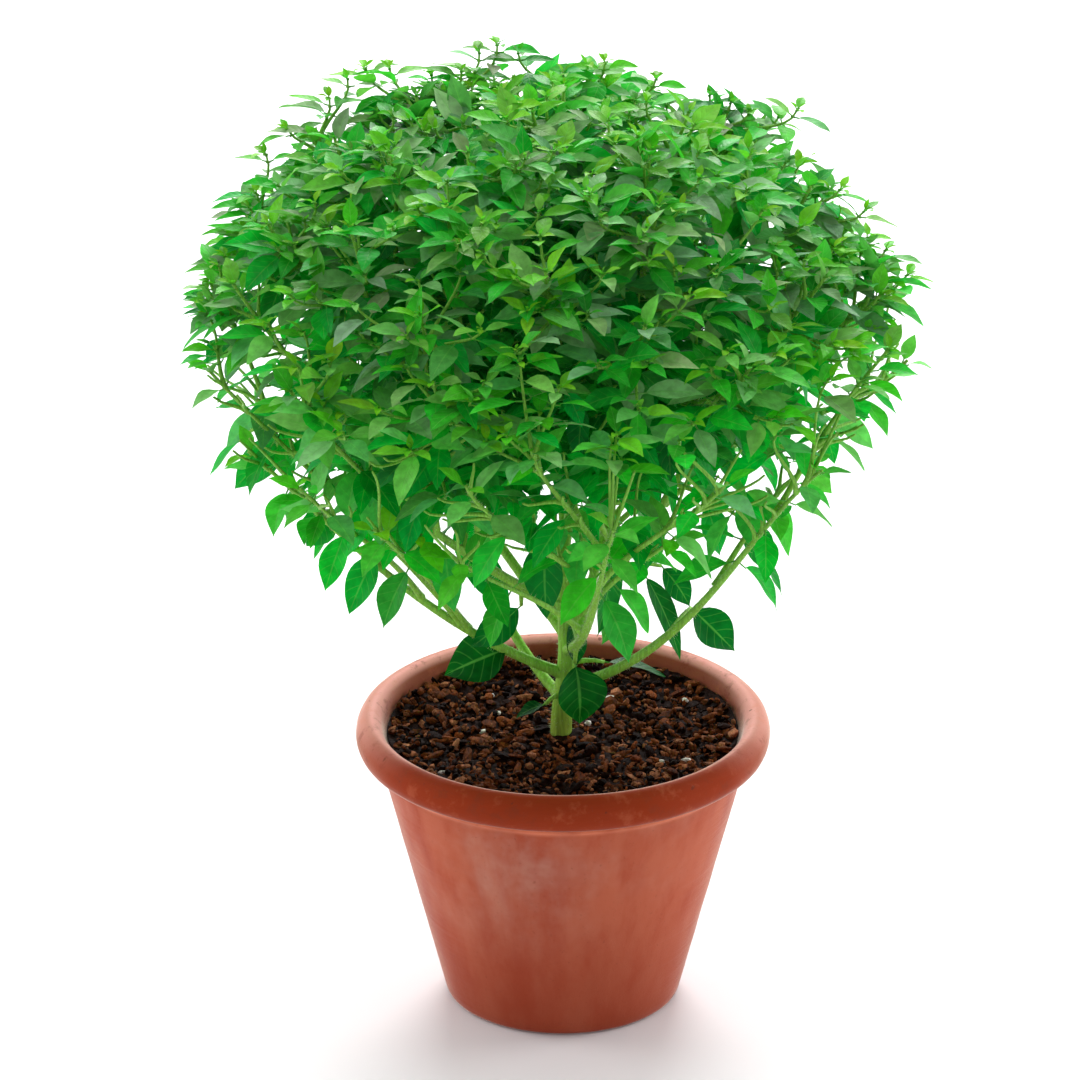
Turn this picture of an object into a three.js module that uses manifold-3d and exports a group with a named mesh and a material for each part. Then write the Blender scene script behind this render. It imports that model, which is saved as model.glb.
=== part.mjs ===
// A bush basil plant in a terracotta pot, in millimetres, +Z up.
// The origin is the centre of the pot's underside, and -Y is the front.
// A main stem stands in the potting mix and forks into leafy stems. Each leafy stem has an axis
// and side shoots, and all of them carry their leaves in crossed pairs out to the crown's surface.

import * as THREE from "three";
import { mergeVertices } from "three/addons/utils/BufferGeometryUtils.js";
import Module from "manifold-3d";

const wasm = await Module();
wasm.setup();

// Driving dimensions of the pot
const POT_HEIGHT = 101.5;
const RIM_RADIUS = 70;
const RIM_HALF_HEIGHT = 6.4;
const RIM_HALF_WIDTH = 4.7;
const NECK_RADIUS = 62.2;
const BASE_RADIUS = 39.2;
const WALL = 5;
const FLOOR = 8;
const DRAIN_RADIUS = 6;
const NECK_Z = 87.6;
const FLARE_Z = 84;
const FLARE = 0.08;
const POT_SIDES = 36;

// Driving dimensions of the potting mix
const GAP = 0.3;
const SOIL_LEVEL = 93;
const SOIL_RELIEF = 1.8;
const SOIL_DISH = 2.4;
const SOIL_SIDES = 24;
const SOIL_RINGS = [59.3, 50, 38, 25, 12, 0];
const CHIP_COUNT = 16;
const CHIP_HEIGHT = 3.4;

// Driving dimensions of the stems
const STEM_ROOT_Z = 62;
const STEM_TOP_Z = 160;
const STEM_RADIUS = 4.2;
const STEM_TOP_RADIUS = 2.5;
const STEM_SIDES = 8;
const LOWEST_FORK_Z = 106;
const AXIS_RADIUS = 1.9;
const SHOOT_RADIUS = 1.1;
const TIP_RADIUS = 0.7;
const LONGEST_STRETCH = 30;
const FIRST_LEAF = 7;
const LOWEST_LEAF_Z = 170;

// Driving dimensions of the crown: a dome on a cone, which leans to the left as it rises and is
// tilted up on the right. The powers say how full its outline is: 1 is a straight cone and 2 an
// ellipse. Shoots turn up at their tips.
const CROWN_CENTRE = [-2, -2, 224];
const CROWN_RADIUS = 117;
const CROWN_RISE = 96;
const CROWN_FALL = 98;
const RISE_POWER = 2.25;
const FALL_POWER = 1;
const CROWN_LEAN = 0.15;
const CROWN_TILT = 0.05;
const LOWEST_POLAR = degrees(112);
const TOP_POLAR = degrees(45);
const LEAFY_STEMS = 12;
const SHOOT_TIPS = 65;
const SHOOT_ANGLE = degrees(36);
const UPTURN = 1.1;
const GOLDEN_ANGLE = Math.PI * (3 - Math.sqrt(5));
const SEED = 4.2;

// Driving dimensions of the leaves, which lie flatter than their stems would hold them and look
// up. The roots are the lengths of stem that they grow from.
const BLADE = 1.1;
const LEAF_WIDTH = 0.45;
const FOLD = 0.09;
const ARCH = 0.05;
const LOW_DROOP = 1.1;
const FLATNESS = 0.6;
const FACE_UP = 1.6;
const LEAF_ROOT = 1.7;
const SHOOT_ROOT = 2.6;
const BENDS = [0, 0.3, -0.3, 0.6, -0.6];

// Leaf pairs counted from a tip: how far back along the shoot, how long, how raised and how heavy
const PAIRS = [
  { back: 2, length: 12, raise: degrees(50), sag: 0 },
  { back: 9, length: 16, raise: degrees(26), sag: 0.05 },
  { back: 20, length: 19, raise: degrees(12), sag: 0.2 },
  { back: 35, length: 21, raise: degrees(8), sag: 0.4 },
  { back: 54, length: 23, raise: degrees(4), sag: 0.6 },
  { back: 76, length: 24, raise: degrees(0), sag: 0.8 },
  { back: 98, length: 25, raise: degrees(0), sag: 1.0 },
];
const TOP_SHOOT_PAIRS = 3;
const SIDE_SHOOT_PAIRS = 4;

// Large leaves low on the stems: where the blade starts, where its tip hangs, how wide it is and
// where its upper face looks, if not outwards and up.
const LOW_LEAVES = [
  { base: [4, -12, 126], tip: [6, -16, 105], width: 18 },
  { base: [2, -5, 139], tip: [5, -7, 122], width: 8 },
  { base: [-18, -2, 127], tip: [-40, -6, 119], width: 17, face: [0, -0.8, 0.6] },
  { base: [-14, -7, 145], tip: [-31, -9, 130], width: 11, face: [0.2, -0.8, 0.4] },
  { base: [14, 4, 119], tip: [35, 7, 113], width: 9 },
  { base: [-6, -4, 107], tip: [-16, -6, 103], width: 6 },
  { base: [-6, -12, 174], tip: [-6, -19, 145], width: 14 },
  { base: [16, -10, 168], tip: [12, -14, 136], width: 13 },
  { base: [-36, -12, 172], tip: [-17, -13, 146], width: 12, face: [0, -0.8, 0.6] },
  { base: [27, -5, 156], tip: [40, -6, 124], width: 9, face: [0.6, -0.7, 0.2] },
  { base: [15, 9, 140], tip: [14, 12, 122], width: 10 },
  { base: [43, 4, 139], tip: [58, 2, 124], width: 13, face: [0.2, -0.8, 0.5] },
  { base: [33, 2, 154], tip: [43, 0, 140], width: 9, face: [0.3, -0.8, 0.4] },
  { base: [60, -6, 176], tip: [70, -8, 157], width: 11, face: [0.3, -0.8, 0.4] },
  { base: [47, -12, 186], tip: [53, -14, 166], width: 10, face: [0.3, -0.8, 0.4] },
  { base: [-76, -8, 180], tip: [-86, -10, 168], width: 13, face: [-0.3, -0.8, 0.4] },
  { base: [-62, -14, 168], tip: [-72, -17, 146], width: 11, face: [-0.3, -0.8, 0.4] },
  { base: [-20, 26, 168], tip: [-24, 34, 142], width: 13 },
  { base: [26, 30, 166], tip: [32, 38, 141], width: 13 },
];
const LOW_LEAF_SHIFTS = [[0, 0], [0, -3], [0, 3], [3, -4], [-3, -4], [0, -8], [0, 8]];
const STALK_RADIUS = 1;

const UP = new THREE.Vector3(0, 0, 1);
const { lerp, mapLinear } = THREE.MathUtils;

function degrees(angle) {
  return (angle * Math.PI) / 180;
}

function vector(x, y, z) {
  return new THREE.Vector3(x, y, z);
}

function evenly(from, to, steps) {
  return Array.from({ length: steps + 1 }, (_, i) => lerp(from, to, i / steps));
}

function nearest(list, measure) {
  return list.reduce((best, item) => (measure(item) < measure(best) ? item : best));
}

function centreOf(points) {
  return points.reduce((sum, point) => sum.add(point), vector(0, 0, 0)).divideScalar(points.length);
}

// A repeatable random number from 0 to 1 for two counters.
function chance(a, b) {
  const wave = Math.sin(a * 127.1 + b * 311.7 + SEED) * 43758.5453;
  return wave - Math.floor(wave);
}

// The same, from -1 to 1.
function jitter(a, b) {
  return 2 * chance(a, b) - 1;
}

// A closed geometry as a solid that can be joined and cut.
function solidOf(geometry) {
  const bare = new THREE.BufferGeometry();
  bare.setAttribute("position", geometry.getAttribute("position"));
  bare.setIndex(geometry.index);
  const merged = mergeVertices(bare, 1e-4);
  return new wasm.Manifold(
    new wasm.Mesh({
      numProp: 3,
      vertProperties: new Float32Array(merged.attributes.position.array),
      triVerts: new Uint32Array(merged.index.array),
    }),
  );
}

function geometryOf(solid) {
  const mesh = solid.getMesh();
  const geometry = new THREE.BufferGeometry();
  geometry.setAttribute("position", new THREE.BufferAttribute(mesh.vertProperties, 3));
  geometry.setIndex(new THREE.BufferAttribute(mesh.triVerts, 1));
  geometry.computeVertexNormals();
  return geometry;
}

function join(solids) {
  return wasm.Manifold.union(solids);
}

// The corners of each section of a tube that thins evenly along a curve, laid without twist.
function sectionsAlong(curve, shares, [startRadius, endRadius], sides, guide) {
  let first = guide;
  return shares.map((share) => {
    const along = curve.getTangentAt(share);
    first = first.clone().addScaledVector(along, -first.dot(along)).normalize();
    const second = along.clone().cross(first);
    const radius = mapLinear(share, shares[0], shares.at(-1), startRadius, endRadius);
    return Array.from({ length: sides }, (_, j) => {
      const turn = (2 * Math.PI * j) / sides;
      const point = curve.getPointAt(share).addScaledVector(first, radius * Math.cos(turn));
      return point.addScaledVector(second, radius * Math.sin(turn));
    });
  });
}

// A direction across a curve's start, so that no side of a branch looks straight up.
function guideAcross(curve, share) {
  return Math.abs(curve.getTangentAt(share).z) < 0.95 ? UP : vector(1, 0, 0);
}

function plainTube(curve, shares, radii, sides) {
  const guide = guideAcross(curve, shares[0]);
  return tubeSolid({ sections: sectionsAlong(curve, shares, radii, sides, guide) });
}

// A tube with all that grows on it as one solid.
function tubeSolid(branch) {
  const shape = { points: [], triangles: [] };
  const ring = addPoints(shape, branch.sections[0]);
  shape.triangles.push(...fan(ring.toReversed()));
  grow(shape, branch, ring);
  const geometry = new THREE.BufferGeometry().setFromPoints(shape.points);
  return solidOf(geometry.setIndex(shape.triangles.flat()));
}

function addPoints(shape, points) {
  return points.map((point) => shape.points.push(point) - 1);
}

function fan(ring) {
  return ring.slice(2).map((corner, i) => [ring[0], ring[i + 1], corner]);
}

// Adds a tube through its sections to a shape, from a ring of the shape's points. Where a face of
// the tube carries a leaf or a shoot, that grows out of the face's four corners.
function grow(shape, { sections, growths = [], blade }, ring) {
  let below = ring;
  sections.slice(1).forEach((section, stretch) => {
    const above = addPoints(shape, section);
    below.forEach((corner, side) => {
      const next = (side + 1) % below.length;
      const face = [corner, below[next], above[next], above[side]];
      const growth = growths.find((item) => item.stretch === stretch && item.side === side);
      if (growth?.sections) grow(shape, growth, face);
      else if (growth?.blade) addBlade(shape, growth.blade, face);
      else shape.triangles.push([face[0], face[1], face[3]], [face[1], face[2], face[3]]);
    });
    below = above;
  });
  if (blade) addBlade(shape, blade, below);
  else shape.triangles.push(...fan(below));
}

// Adds a leaf to a shape, from the four corners of its root and the points of its blade.
function addBlade(shape, blade, [lowLeft, lowRight, highRight, highLeft]) {
  const added = addPoints(shape, blade);
  const edge = added.slice(0, 5);
  const [upper, lower] = added.slice(5);
  const around = [highLeft, ...edge, highRight];
  const beneath = [lowLeft, ...edge, lowRight];
  for (let i = 0; i < around.length - 1; i++) {
    shape.triangles.push([around[i], around[i + 1], upper]);
    shape.triangles.push([beneath[i + 1], beneath[i], lower]);
  }
  shape.triangles.push([highRight, highLeft, upper], [lowLeft, lowRight, lower]);
  shape.triangles.push([highLeft, lowLeft, edge[0]], [lowRight, highRight, edge[4]]);
}

// A blade along +X with its upper face up: its left edge, tip and right edge, which are sharp and
// folded up from the rib, then the rib's upper and lower points.
function bladePoints(length, width, thickness) {
  const rib = ARCH * length;
  const edge = rib + FOLD * width;
  return [
    [0.28 * length, -0.44 * width, edge],
    [0.63 * length, -0.4 * width, edge],
    [length, 0, -rib],
    [0.63 * length, 0.4 * width, edge],
    [0.28 * length, 0.44 * width, edge],
    [0.46 * length, 0, rib + thickness / 2],
    [0.46 * length, 0, rib - thickness / 2],
  ];
}

// Moves blade points to a root, with the tip in one direction and the upper face in another.
function placeBlade(blade, root, towards, face) {
  const along = towards.clone().normalize();
  const normal = face.clone().addScaledVector(along, -face.dot(along)).normalize();
  const across = normal.clone().cross(along);
  const matrix = new THREE.Matrix4().makeBasis(along, across, normal).setPosition(root);
  return blade.map((point) => vector(...point).applyMatrix4(matrix));
}

// A leaf closed at its root as a solid of its own.
function leafSolid(root, blade) {
  return tubeSolid({ sections: [root], blade });
}

// The direction that leans from upright by one angle, towards another round the axis.
function leaning(polar, azimuth) {
  const out = Math.sin(polar);
  return vector(out * Math.cos(azimuth), out * Math.sin(azimuth), Math.cos(polar));
}

// The point of the crown's surface in a direction from its centre.
function crownPoint(direction) {
  const [height, power] = direction.z > 0 ? [CROWN_RISE, RISE_POWER] : [CROWN_FALL, FALL_POWER];
  const level = Math.hypot(direction.x, direction.y) / CROWN_RADIUS;
  const reach = (Math.abs(direction.z / height) ** power + level ** power) ** (-1 / power);
  const shift = vector(-CROWN_LEAN * Math.max(0, direction.z), 0, CROWN_TILT * direction.x);
  return vector(...CROWN_CENTRE).addScaledVector(direction.clone().add(shift), reach);
}

// Tips spread evenly over the crown from its top to its lower edge.
function crownTips(count, turn, wander) {
  return Array.from({ length: count }, (_, i) => {
    const share = (i + 0.5 + wander * 0.4 * jitter(i, 1)) / count;
    const polar = Math.acos(1 - share * (1 - Math.cos(LOWEST_POLAR)));
    const azimuth = i * GOLDEN_ANGLE + turn + (wander * 0.25 * jitter(i, 2)) / Math.sin(polar);
    const direction = leaning(polar, azimuth);
    return { polar, azimuth, direction, point: crownPoint(direction) };
  });
}

// The curve from a start to a tip, where it points outwards and up.
function curveTo(tip, start, leave, reach) {
  const length = start.distanceTo(tip.point);
  const arrive = tip.direction.clone().addScaledVector(UP, UPTURN).normalize();
  return new THREE.CubicBezierCurve3(
    start,
    start.clone().addScaledVector(leave, reach * length),
    tip.point.clone().addScaledVector(arrive, -0.3 * length),
    tip.point,
  );
}

const mainStemCurve = new THREE.CatmullRomCurve3([
  vector(0, 3, STEM_ROOT_Z),
  vector(-0.5, 3, SOIL_LEVEL + 4),
  vector(1.5, 1.5, 124),
  vector(-0.5, 1, STEM_TOP_Z),
]);

function mainStemAt(z) {
  return mainStemCurve.getPointAt(mapLinear(z, STEM_ROOT_Z, STEM_TOP_Z, 0, 1));
}

function mainStemRadius(z) {
  return mapLinear(z, STEM_ROOT_Z, STEM_TOP_Z, STEM_RADIUS, STEM_TOP_RADIUS);
}

// A leafy stem's axis, from the main stem's centre to its tip. The steepest forks off highest.
function axisCurve(tip, order) {
  const start = mainStemAt(lerp(STEM_TOP_Z - 2, LOWEST_FORK_Z, order / (LEAFY_STEMS - 1)));
  return curveTo(tip, start, leaning(degrees(16) + 0.52 * tip.polar, tip.azimuth), 0.38);
}

// How far along an axis its stub on the main stem reaches.
function stubShare(axis) {
  const lean = axis.getTangentAt(0).angleTo(UP);
  const clear = mainStemRadius(axis.getPointAt(0).z) + AXIS_RADIUS + 2 * GAP;
  return clear / Math.sin(lean) / axis.getLength();
}

// Where along its axis a side shoot leaves: where its tip lies at the natural angle to the axis,
// or the nearest free place to that.
function forkShare(axis, tip, isFree) {
  const wanted = nearest(evenly(0.3, 0.84, 27), (place) => {
    const sight = tip.point.clone().sub(axis.getPointAt(place));
    return Math.abs(sight.angleTo(axis.getTangentAt(place)) - SHOOT_ANGLE);
  });
  return nearest(evenly(0.25, 0.9, 130).filter(isFree), (place) => Math.abs(place - wanted));
}

// The places along a branch where leaf pairs and side shoots grow, from its base to its tip.
function nodesOf({ curve, from, pairs, tips = [] }) {
  const length = curve.getLength();
  const nodes = PAIRS.slice(0, pairs)
    .filter(({ back }) => length * (1 - from) - back > FIRST_LEAF)
    .filter(({ back }) => curve.getPointAt(1 - back / length).z > LOWEST_LEAF_Z)
    .map((pair, order) => ({ pair, order, at: 1 - pair.back / length, half: LEAF_ROOT / 2 / length }));
  for (const shootTip of tips) {
    const half = SHOOT_ROOT / 2 / length;
    const isFree = (at) =>
      nodes.every((node) => Math.abs(node.at - at) > node.half + half + 3 * GAP / length);
    nodes.push({ shootTip, at: forkShare(curve, shootTip, isFree), half });
  }
  return nodes.sort((a, b) => a.at - b.at);
}

// A branch before its leaves are bent clear: its sections, and the faces where things grow.
// Its leaf pairs are crossed. Each side shoot has a stretch of its own, clear of the pairs.
function planBranch(plan) {
  const { curve, tip, from, radius, key, root } = plan;
  const length = curve.getLength();
  const shares = [from];
  const growths = [];
  const forks = [];
  for (const { pair, order, shootTip, at, half } of nodesOf(plan)) {
    const steps = Math.ceil(((at - half - shares.at(-1)) * length) / LONGEST_STRETCH);
    shares.push(...evenly(shares.at(-1), at - half, Math.max(1, steps)).slice(1), at + half);
    const stretch = shares.length - 2;
    if (shootTip) forks.push({ tip: shootTip, stretch, at });
    else
      for (const side of [order % 2, (order % 2) + 2])
        growths.push({ pair, at, stretch, side, lot: key * 32 + order * 4 + side });
  }
  shares.push(1);
  const guide = root ? root[0].clone().sub(curve.getPointAt(from)) : guideAcross(curve, from);
  const sections = sectionsAlong(curve, shares, [radius, TIP_RADIUS], 4, guide);
  if (root) sections[0] = root;
  return { curve, tip, sections, growths, forks, solid: tubeSolid({ sections }) };
}

// The four corners of a branch's face that something grows from.
function faceOf({ sections }, { stretch, side }) {
  const [below, above] = [sections[stretch], sections[stretch + 1]];
  const next = (side + 1) % below.length;
  return [below[side], below[next], above[next], above[side]];
}

// A side shoot on the face of its axis that looks most towards the shoot's tip.
function planShoot(axis, { tip, stretch, at }, key) {
  const centre = axis.curve.getPointAt(at);
  const sight = tip.point.clone().sub(centre);
  const outOf = (side) => centreOf(faceOf(axis, { stretch, side })).sub(centre).normalize();
  const side = nearest([0, 1, 2, 3], (item) => -outOf(item).dot(sight));
  const root = faceOf(axis, { stretch, side });
  const start = centreOf(root);
  const leave = tip.point.clone().sub(start).normalize().add(axis.curve.getTangentAt(at)).normalize();
  leave.addScaledVector(outOf(side), 0.35).normalize();
  const curve = curveTo(tip, start, leave, 0.35);
  const pairs = tip.polar < TOP_POLAR ? TOP_SHOOT_PAIRS : SIDE_SHOOT_PAIRS;
  const shoot = planBranch({ curve, tip, from: 0, radius: SHOOT_RADIUS, pairs, key, root });
  return Object.assign(shoot, { stretch, side });
}

// One leaf as the points of its blade, turned and raised a little more than the rule says.
function bladeAt(branch, leaf, moreTurn, moreRaise, room) {
  const { pair, lot, at } = leaf;
  const along = branch.curve.getTangentAt(at);
  const centre = centreOf(faceOf(branch, leaf));
  const out = centre.clone().sub(branch.curve.getPointAt(at)).normalize();
  const across = along.clone().cross(out);
  const turn = 0.25 * jitter(lot, 3) + moreTurn;
  const raise = pair.raise + 0.16 * jitter(lot, 4) + moreRaise;
  const droop = LOW_DROOP * Math.max(0, -Math.cos(branch.tip.polar));
  const heavy = pair.sag * (0.6 + 0.8 * Math.sin(branch.tip.polar)) + droop;
  const sag = heavy * (1 - Math.max(0, out.z));
  const towards = out.multiplyScalar(Math.cos(turn)).addScaledVector(across, Math.sin(turn));
  towards.multiplyScalar(Math.cos(raise)).addScaledVector(along, Math.sin(raise));
  towards.setZ(FLATNESS * towards.z - sag).normalize();
  const length = pair.length * (1 + 0.12 * jitter(lot, 5));
  const blade = bladePoints(length + room, length * LEAF_WIDTH + room, BLADE + room);
  return placeBlade(blade, centre, towards, along.addScaledVector(UP, FACE_UP));
}

// Everything built so far that a new piece has to stay clear of, with what each one grows on.
const built = [];

function keep(solid, owner) {
  built.push({ solid, owner, box: solid.boundingBox() });
  return solid;
}

function boxesApart(a, b) {
  return [0, 1, 2].some((i) => a.min[i] > b.max[i] || b.min[i] > a.max[i]);
}

function isClear(solid, owner) {
  const box = solid.boundingBox();
  return built.every(
    (other) =>
      other.owner === owner || boxesApart(box, other.box) || other.solid.intersect(solid).isEmpty(),
  );
}

// A leaf is bent clear of what is there already, or left out where no bend clears it.
function addLeaf(branch, leaf) {
  const root = faceOf(branch, leaf);
  for (const moreTurn of BENDS)
    for (const moreRaise of BENDS) {
      const padded = leafSolid(root, bladeAt(branch, leaf, moreTurn, moreRaise, 2 * GAP));
      if (!isClear(padded, branch)) continue;
      leaf.blade = bladeAt(branch, leaf, moreTurn, moreRaise, 0);
      keep(leafSolid(root, leaf.blade), leaf);
      return;
    }
}

// A low leaf on its stalk, which reaches it from a place on a stem.
function lowLeafSolid({ base, tip, width, face }, place, shift) {
  const start = vector(...base).add(shift);
  const middle = place.point.clone().lerp(start, 0.5).addScaledVector(UP, 2);
  const stalk = new THREE.QuadraticBezierCurve3(place.point, middle, start);
  const towards = vector(...tip).add(shift).sub(start);
  const upper = (face ? vector(...face) : vector(start.x, start.y, 8)).normalize();
  const blade = placeBlade(bladePoints(towards.length(), width, BLADE), start, towards, upper);
  const guide = towards.clone().cross(upper).normalize().sub(upper);
  const radii = [STALK_RADIUS, 0.8 * STALK_RADIUS];
  return tubeSolid({ sections: sectionsAlong(stalk, evenly(0, 0.94, 3), radii, 4, guide), blade });
}

// A low leaf grows on the nearest stem from which it clears the rest, shifted a little at need.
function addLowLeaf(leaf, places) {
  const start = vector(...leaf.base);
  const byDistance = places.toSorted((a, b) => a.point.distanceTo(start) - b.point.distanceTo(start));
  for (const shift of LOW_LEAF_SHIFTS)
    for (const place of byDistance.slice(0, 16)) {
      const solid = lowLeafSolid(leaf, place, vector(...shift, 0));
      if (!isClear(solid, place.owner)) continue;
      place.solids.push(keep(solid, solid));
      return;
    }
}

// The leafy stems' curves: each crown tip belongs to the stem whose own direction is nearest.
function planStems() {
  const directions = crownTips(LEAFY_STEMS, 0.7, 0).map(({ direction }) => direction);
  const tips = crownTips(SHOOT_TIPS, 0.2, 1);
  return directions.map((direction, order) => {
    const apart = (tip) => (other) => tip.direction.angleTo(other);
    const own = tips.filter((tip) => nearest(directions, apart(tip)) === direction);
    const lead = nearest(own, (tip) => tip.direction.angleTo(direction));
    return { order, lead, curve: axisCurve(lead, order), tips: own.filter((tip) => tip !== lead) };
  });
}

// The main stem with a stub for each leafy stem. The leafy stem goes on just past the stub's end.
function startStems(stems) {
  const radii = [STEM_RADIUS, STEM_TOP_RADIUS];
  const solids = [keep(plainTube(mainStemCurve, evenly(0, 1, 9), radii, STEM_SIDES), "main stem")];
  for (const stem of stems) {
    const share = stubShare(stem.curve);
    const stub = plainTube(stem.curve, [0, share], [AXIS_RADIUS, AXIS_RADIUS], 4);
    solids.push(keep(stub, "main stem"));
    const from = share + GAP / stem.curve.getLength();
    const shape = { radius: AXIS_RADIUS, pairs: PAIRS.length, key: stem.order * 20 };
    stem.axis = planBranch({ curve: stem.curve, tip: stem.lead, tips: stem.tips, from, ...shape });
    stem.branches = [stem.axis];
    stem.low = [];
    keep(stem.axis.solid, stem.axis);
  }
  return solids;
}

function addShoots({ axis, branches, order }) {
  axis.forks.forEach((fork, n) => {
    const shoot = planShoot(axis, fork, order * 20 + n + 1);
    if (!isClear(shoot.solid, axis)) return;
    keep(shoot.solid, shoot);
    axis.growths.push(shoot);
    branches.push(shoot);
  });
}

function addLowLeaves(stems, mainStem) {
  const places = evenly(102, STEM_TOP_Z, 20).map((z) => ({
    point: mainStemAt(z),
    owner: "main stem",
    solids: mainStem,
  }));
  for (const { curve, axis, low } of stems)
    for (const share of evenly(0.15, 0.8, 13))
      places.push({ point: curve.getPointAt(share), owner: axis, solids: low });
  for (const leaf of LOW_LEAVES) addLowLeaf(leaf, places);
}

// Leaves go on from the tips inwards, so that the ones that show most are bent least.
function addLeaves(stems) {
  const branches = stems.flatMap((stem) => stem.branches);
  for (const pair of PAIRS)
    for (const branch of branches)
      for (const leaf of branch.growths.filter((item) => item.pair === pair)) addLeaf(branch, leaf);
}

// The pot's outside from its foot to the neck under the rim.
function outerRadius(z) {
  return mapLinear(z, 0, NECK_Z, BASE_RADIUS, NECK_RADIUS);
}

// The pot's inside, which widens faster behind the rim.
function innerRadius(z) {
  return outerRadius(z) - WALL + FLARE * Math.max(0, z - FLARE_Z);
}

// The pot's wall, floor and rolled rim, turned round the axis, with a drain hole.
function potGeometry() {
  const rimRadius = RIM_RADIUS - RIM_HALF_WIDTH;
  const rimZ = POT_HEIGHT - RIM_HALF_HEIGHT;
  const roll = (turn, share) => [
    rimRadius + share * RIM_HALF_WIDTH * Math.cos(degrees(turn)),
    rimZ + RIM_HALF_HEIGHT * Math.sin(degrees(turn)),
  ];
  const profile = [
    [DRAIN_RADIUS, 0],
    [outerRadius(0) - 2.2, 0],
    [outerRadius(0) - 0.2, 1.4],
    [outerRadius(3.5), 3.5],
    [NECK_RADIUS, NECK_Z],
    ...evenly(-100, 116, 6).map((turn) => roll(turn, 1)),
    roll(160, 1),
    [innerRadius(SOIL_LEVEL), SOIL_LEVEL],
    [innerRadius(FLARE_Z), FLARE_Z],
    [innerRadius(FLOOR + 3), FLOOR + 3],
    [outerRadius(FLOOR) - WALL - 4, FLOOR],
    [DRAIN_RADIUS, FLOOR],
    [DRAIN_RADIUS, 0],
  ];
  const points = profile.map(([radius, z]) => new THREE.Vector2(radius, z));
  return new THREE.LatheGeometry(points, POT_SIDES).rotateX(Math.PI / 2);
}

// Potting mix that fills the pot: a rough top with bark chips.
function soilSolid() {
  const reach = (z) => innerRadius(z) - 2 * GAP;
  const profile = [
    [0, FLOOR + GAP],
    [reach(FLOOR) - 4.5, FLOOR + GAP],
    [reach(FLOOR + 4), FLOOR + 4],
    [reach(FLARE_Z), FLARE_Z],
    [reach(SOIL_LEVEL - 2), SOIL_LEVEL - 2],
    ...SOIL_RINGS.map((radius) => [radius, SOIL_LEVEL]),
  ];
  const points = profile.map(([radius, z]) => new THREE.Vector2(radius, z));
  const geometry = new THREE.LatheGeometry(points, SOIL_SIDES).rotateX(Math.PI / 2);
  const position = geometry.getAttribute("position");
  for (let i = 0; i < position.count; i++) {
    if (position.getZ(i) < SOIL_LEVEL - 0.5) continue;
    position.setZ(i, SOIL_LEVEL + soilRelief(position.getX(i), position.getY(i)));
  }
  return join([solidOf(geometry), ...Array.from({ length: CHIP_COUNT }, (_, i) => chipSolid(i))]);
}

// How far the top of the mix stands above or below its level: a shallow dish with waves and lumps.
function soilRelief(x, y) {
  const lump = jitter(Math.round(x), Math.round(y));
  return soilWave(x, y) + 0.5 * SOIL_RELIEF * lump * Math.min(1, Math.hypot(x, y) / 12);
}

function soilWave(x, y) {
  const dish = SOIL_DISH * (Math.hypot(x, y) / SOIL_RINGS[0]) ** 3;
  return dish + 0.5 * SOIL_RELIEF * Math.sin(0.17 * x + 1.1) * Math.cos(0.15 * y - 0.6);
}

// A chip of bark that lies half sunk in the top of the mix.
function chipSolid(i) {
  const radius = 9 + 40 * Math.sqrt((i + 0.5) / CHIP_COUNT);
  const x = radius * Math.cos(i * GOLDEN_ANGLE);
  const y = radius * Math.sin(i * GOLDEN_ANGLE);
  const size = 3.5 + 4 * chance(i, 20);
  const chip = new THREE.BoxGeometry(size, size * 0.6, CHIP_HEIGHT);
  chip.rotateX(0.5 * jitter(i, 21)).rotateY(0.5 * jitter(i, 22)).rotateZ(6 * chance(i, 23));
  return solidOf(chip.translate(x, y, SOIL_LEVEL + soilWave(x, y)));
}

// The plain hole in the mix that the main stem stands in.
function stemHole() {
  const room = 2 * GAP;
  const top = SOIL_LEVEL + 18;
  const share = mapLinear(top, STEM_ROOT_Z, STEM_TOP_Z, 0, 1);
  const radii = [STEM_RADIUS + room, mainStemRadius(top) + room];
  return plainTube(mainStemCurve, evenly(0, share, 5), radii, STEM_SIDES);
}

const group = new THREE.Group();

function addMesh(name, solid, color, roughness) {
  const material = new THREE.MeshStandardMaterial({ color, roughness });
  const mesh = new THREE.Mesh(geometryOf(solid), material);
  mesh.name = name;
  group.add(mesh);
}

const stems = planStems();
const mainStem = startStems(stems);
stems.forEach(addShoots);
addLowLeaves(stems, mainStem);
addLeaves(stems);

addMesh("pot", solidOf(potGeometry()), 0xb5654a, 0.85);
addMesh("potting_mix", soilSolid().subtract(stemHole()), 0x3a2416, 1);
addMesh("main_stem", join(mainStem), 0x86a83c, 0.6);
for (const { order, axis, low } of stems) {
  const name = "leafy_stem_" + String(order + 1).padStart(2, "0");
  addMesh(name, join([tubeSolid(axis), ...low]), 0x3f8f2c, 0.5);
}

export default group;
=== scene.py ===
from collections import namedtuple
from itertools import product
from math import acos, ceil, cos, floor, hypot, pi, radians, sin, sqrt

import bmesh
import bpy
import numpy as np
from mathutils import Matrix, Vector, noise
from mathutils.kdtree import KDTree
from numpy.linalg import norm


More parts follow.
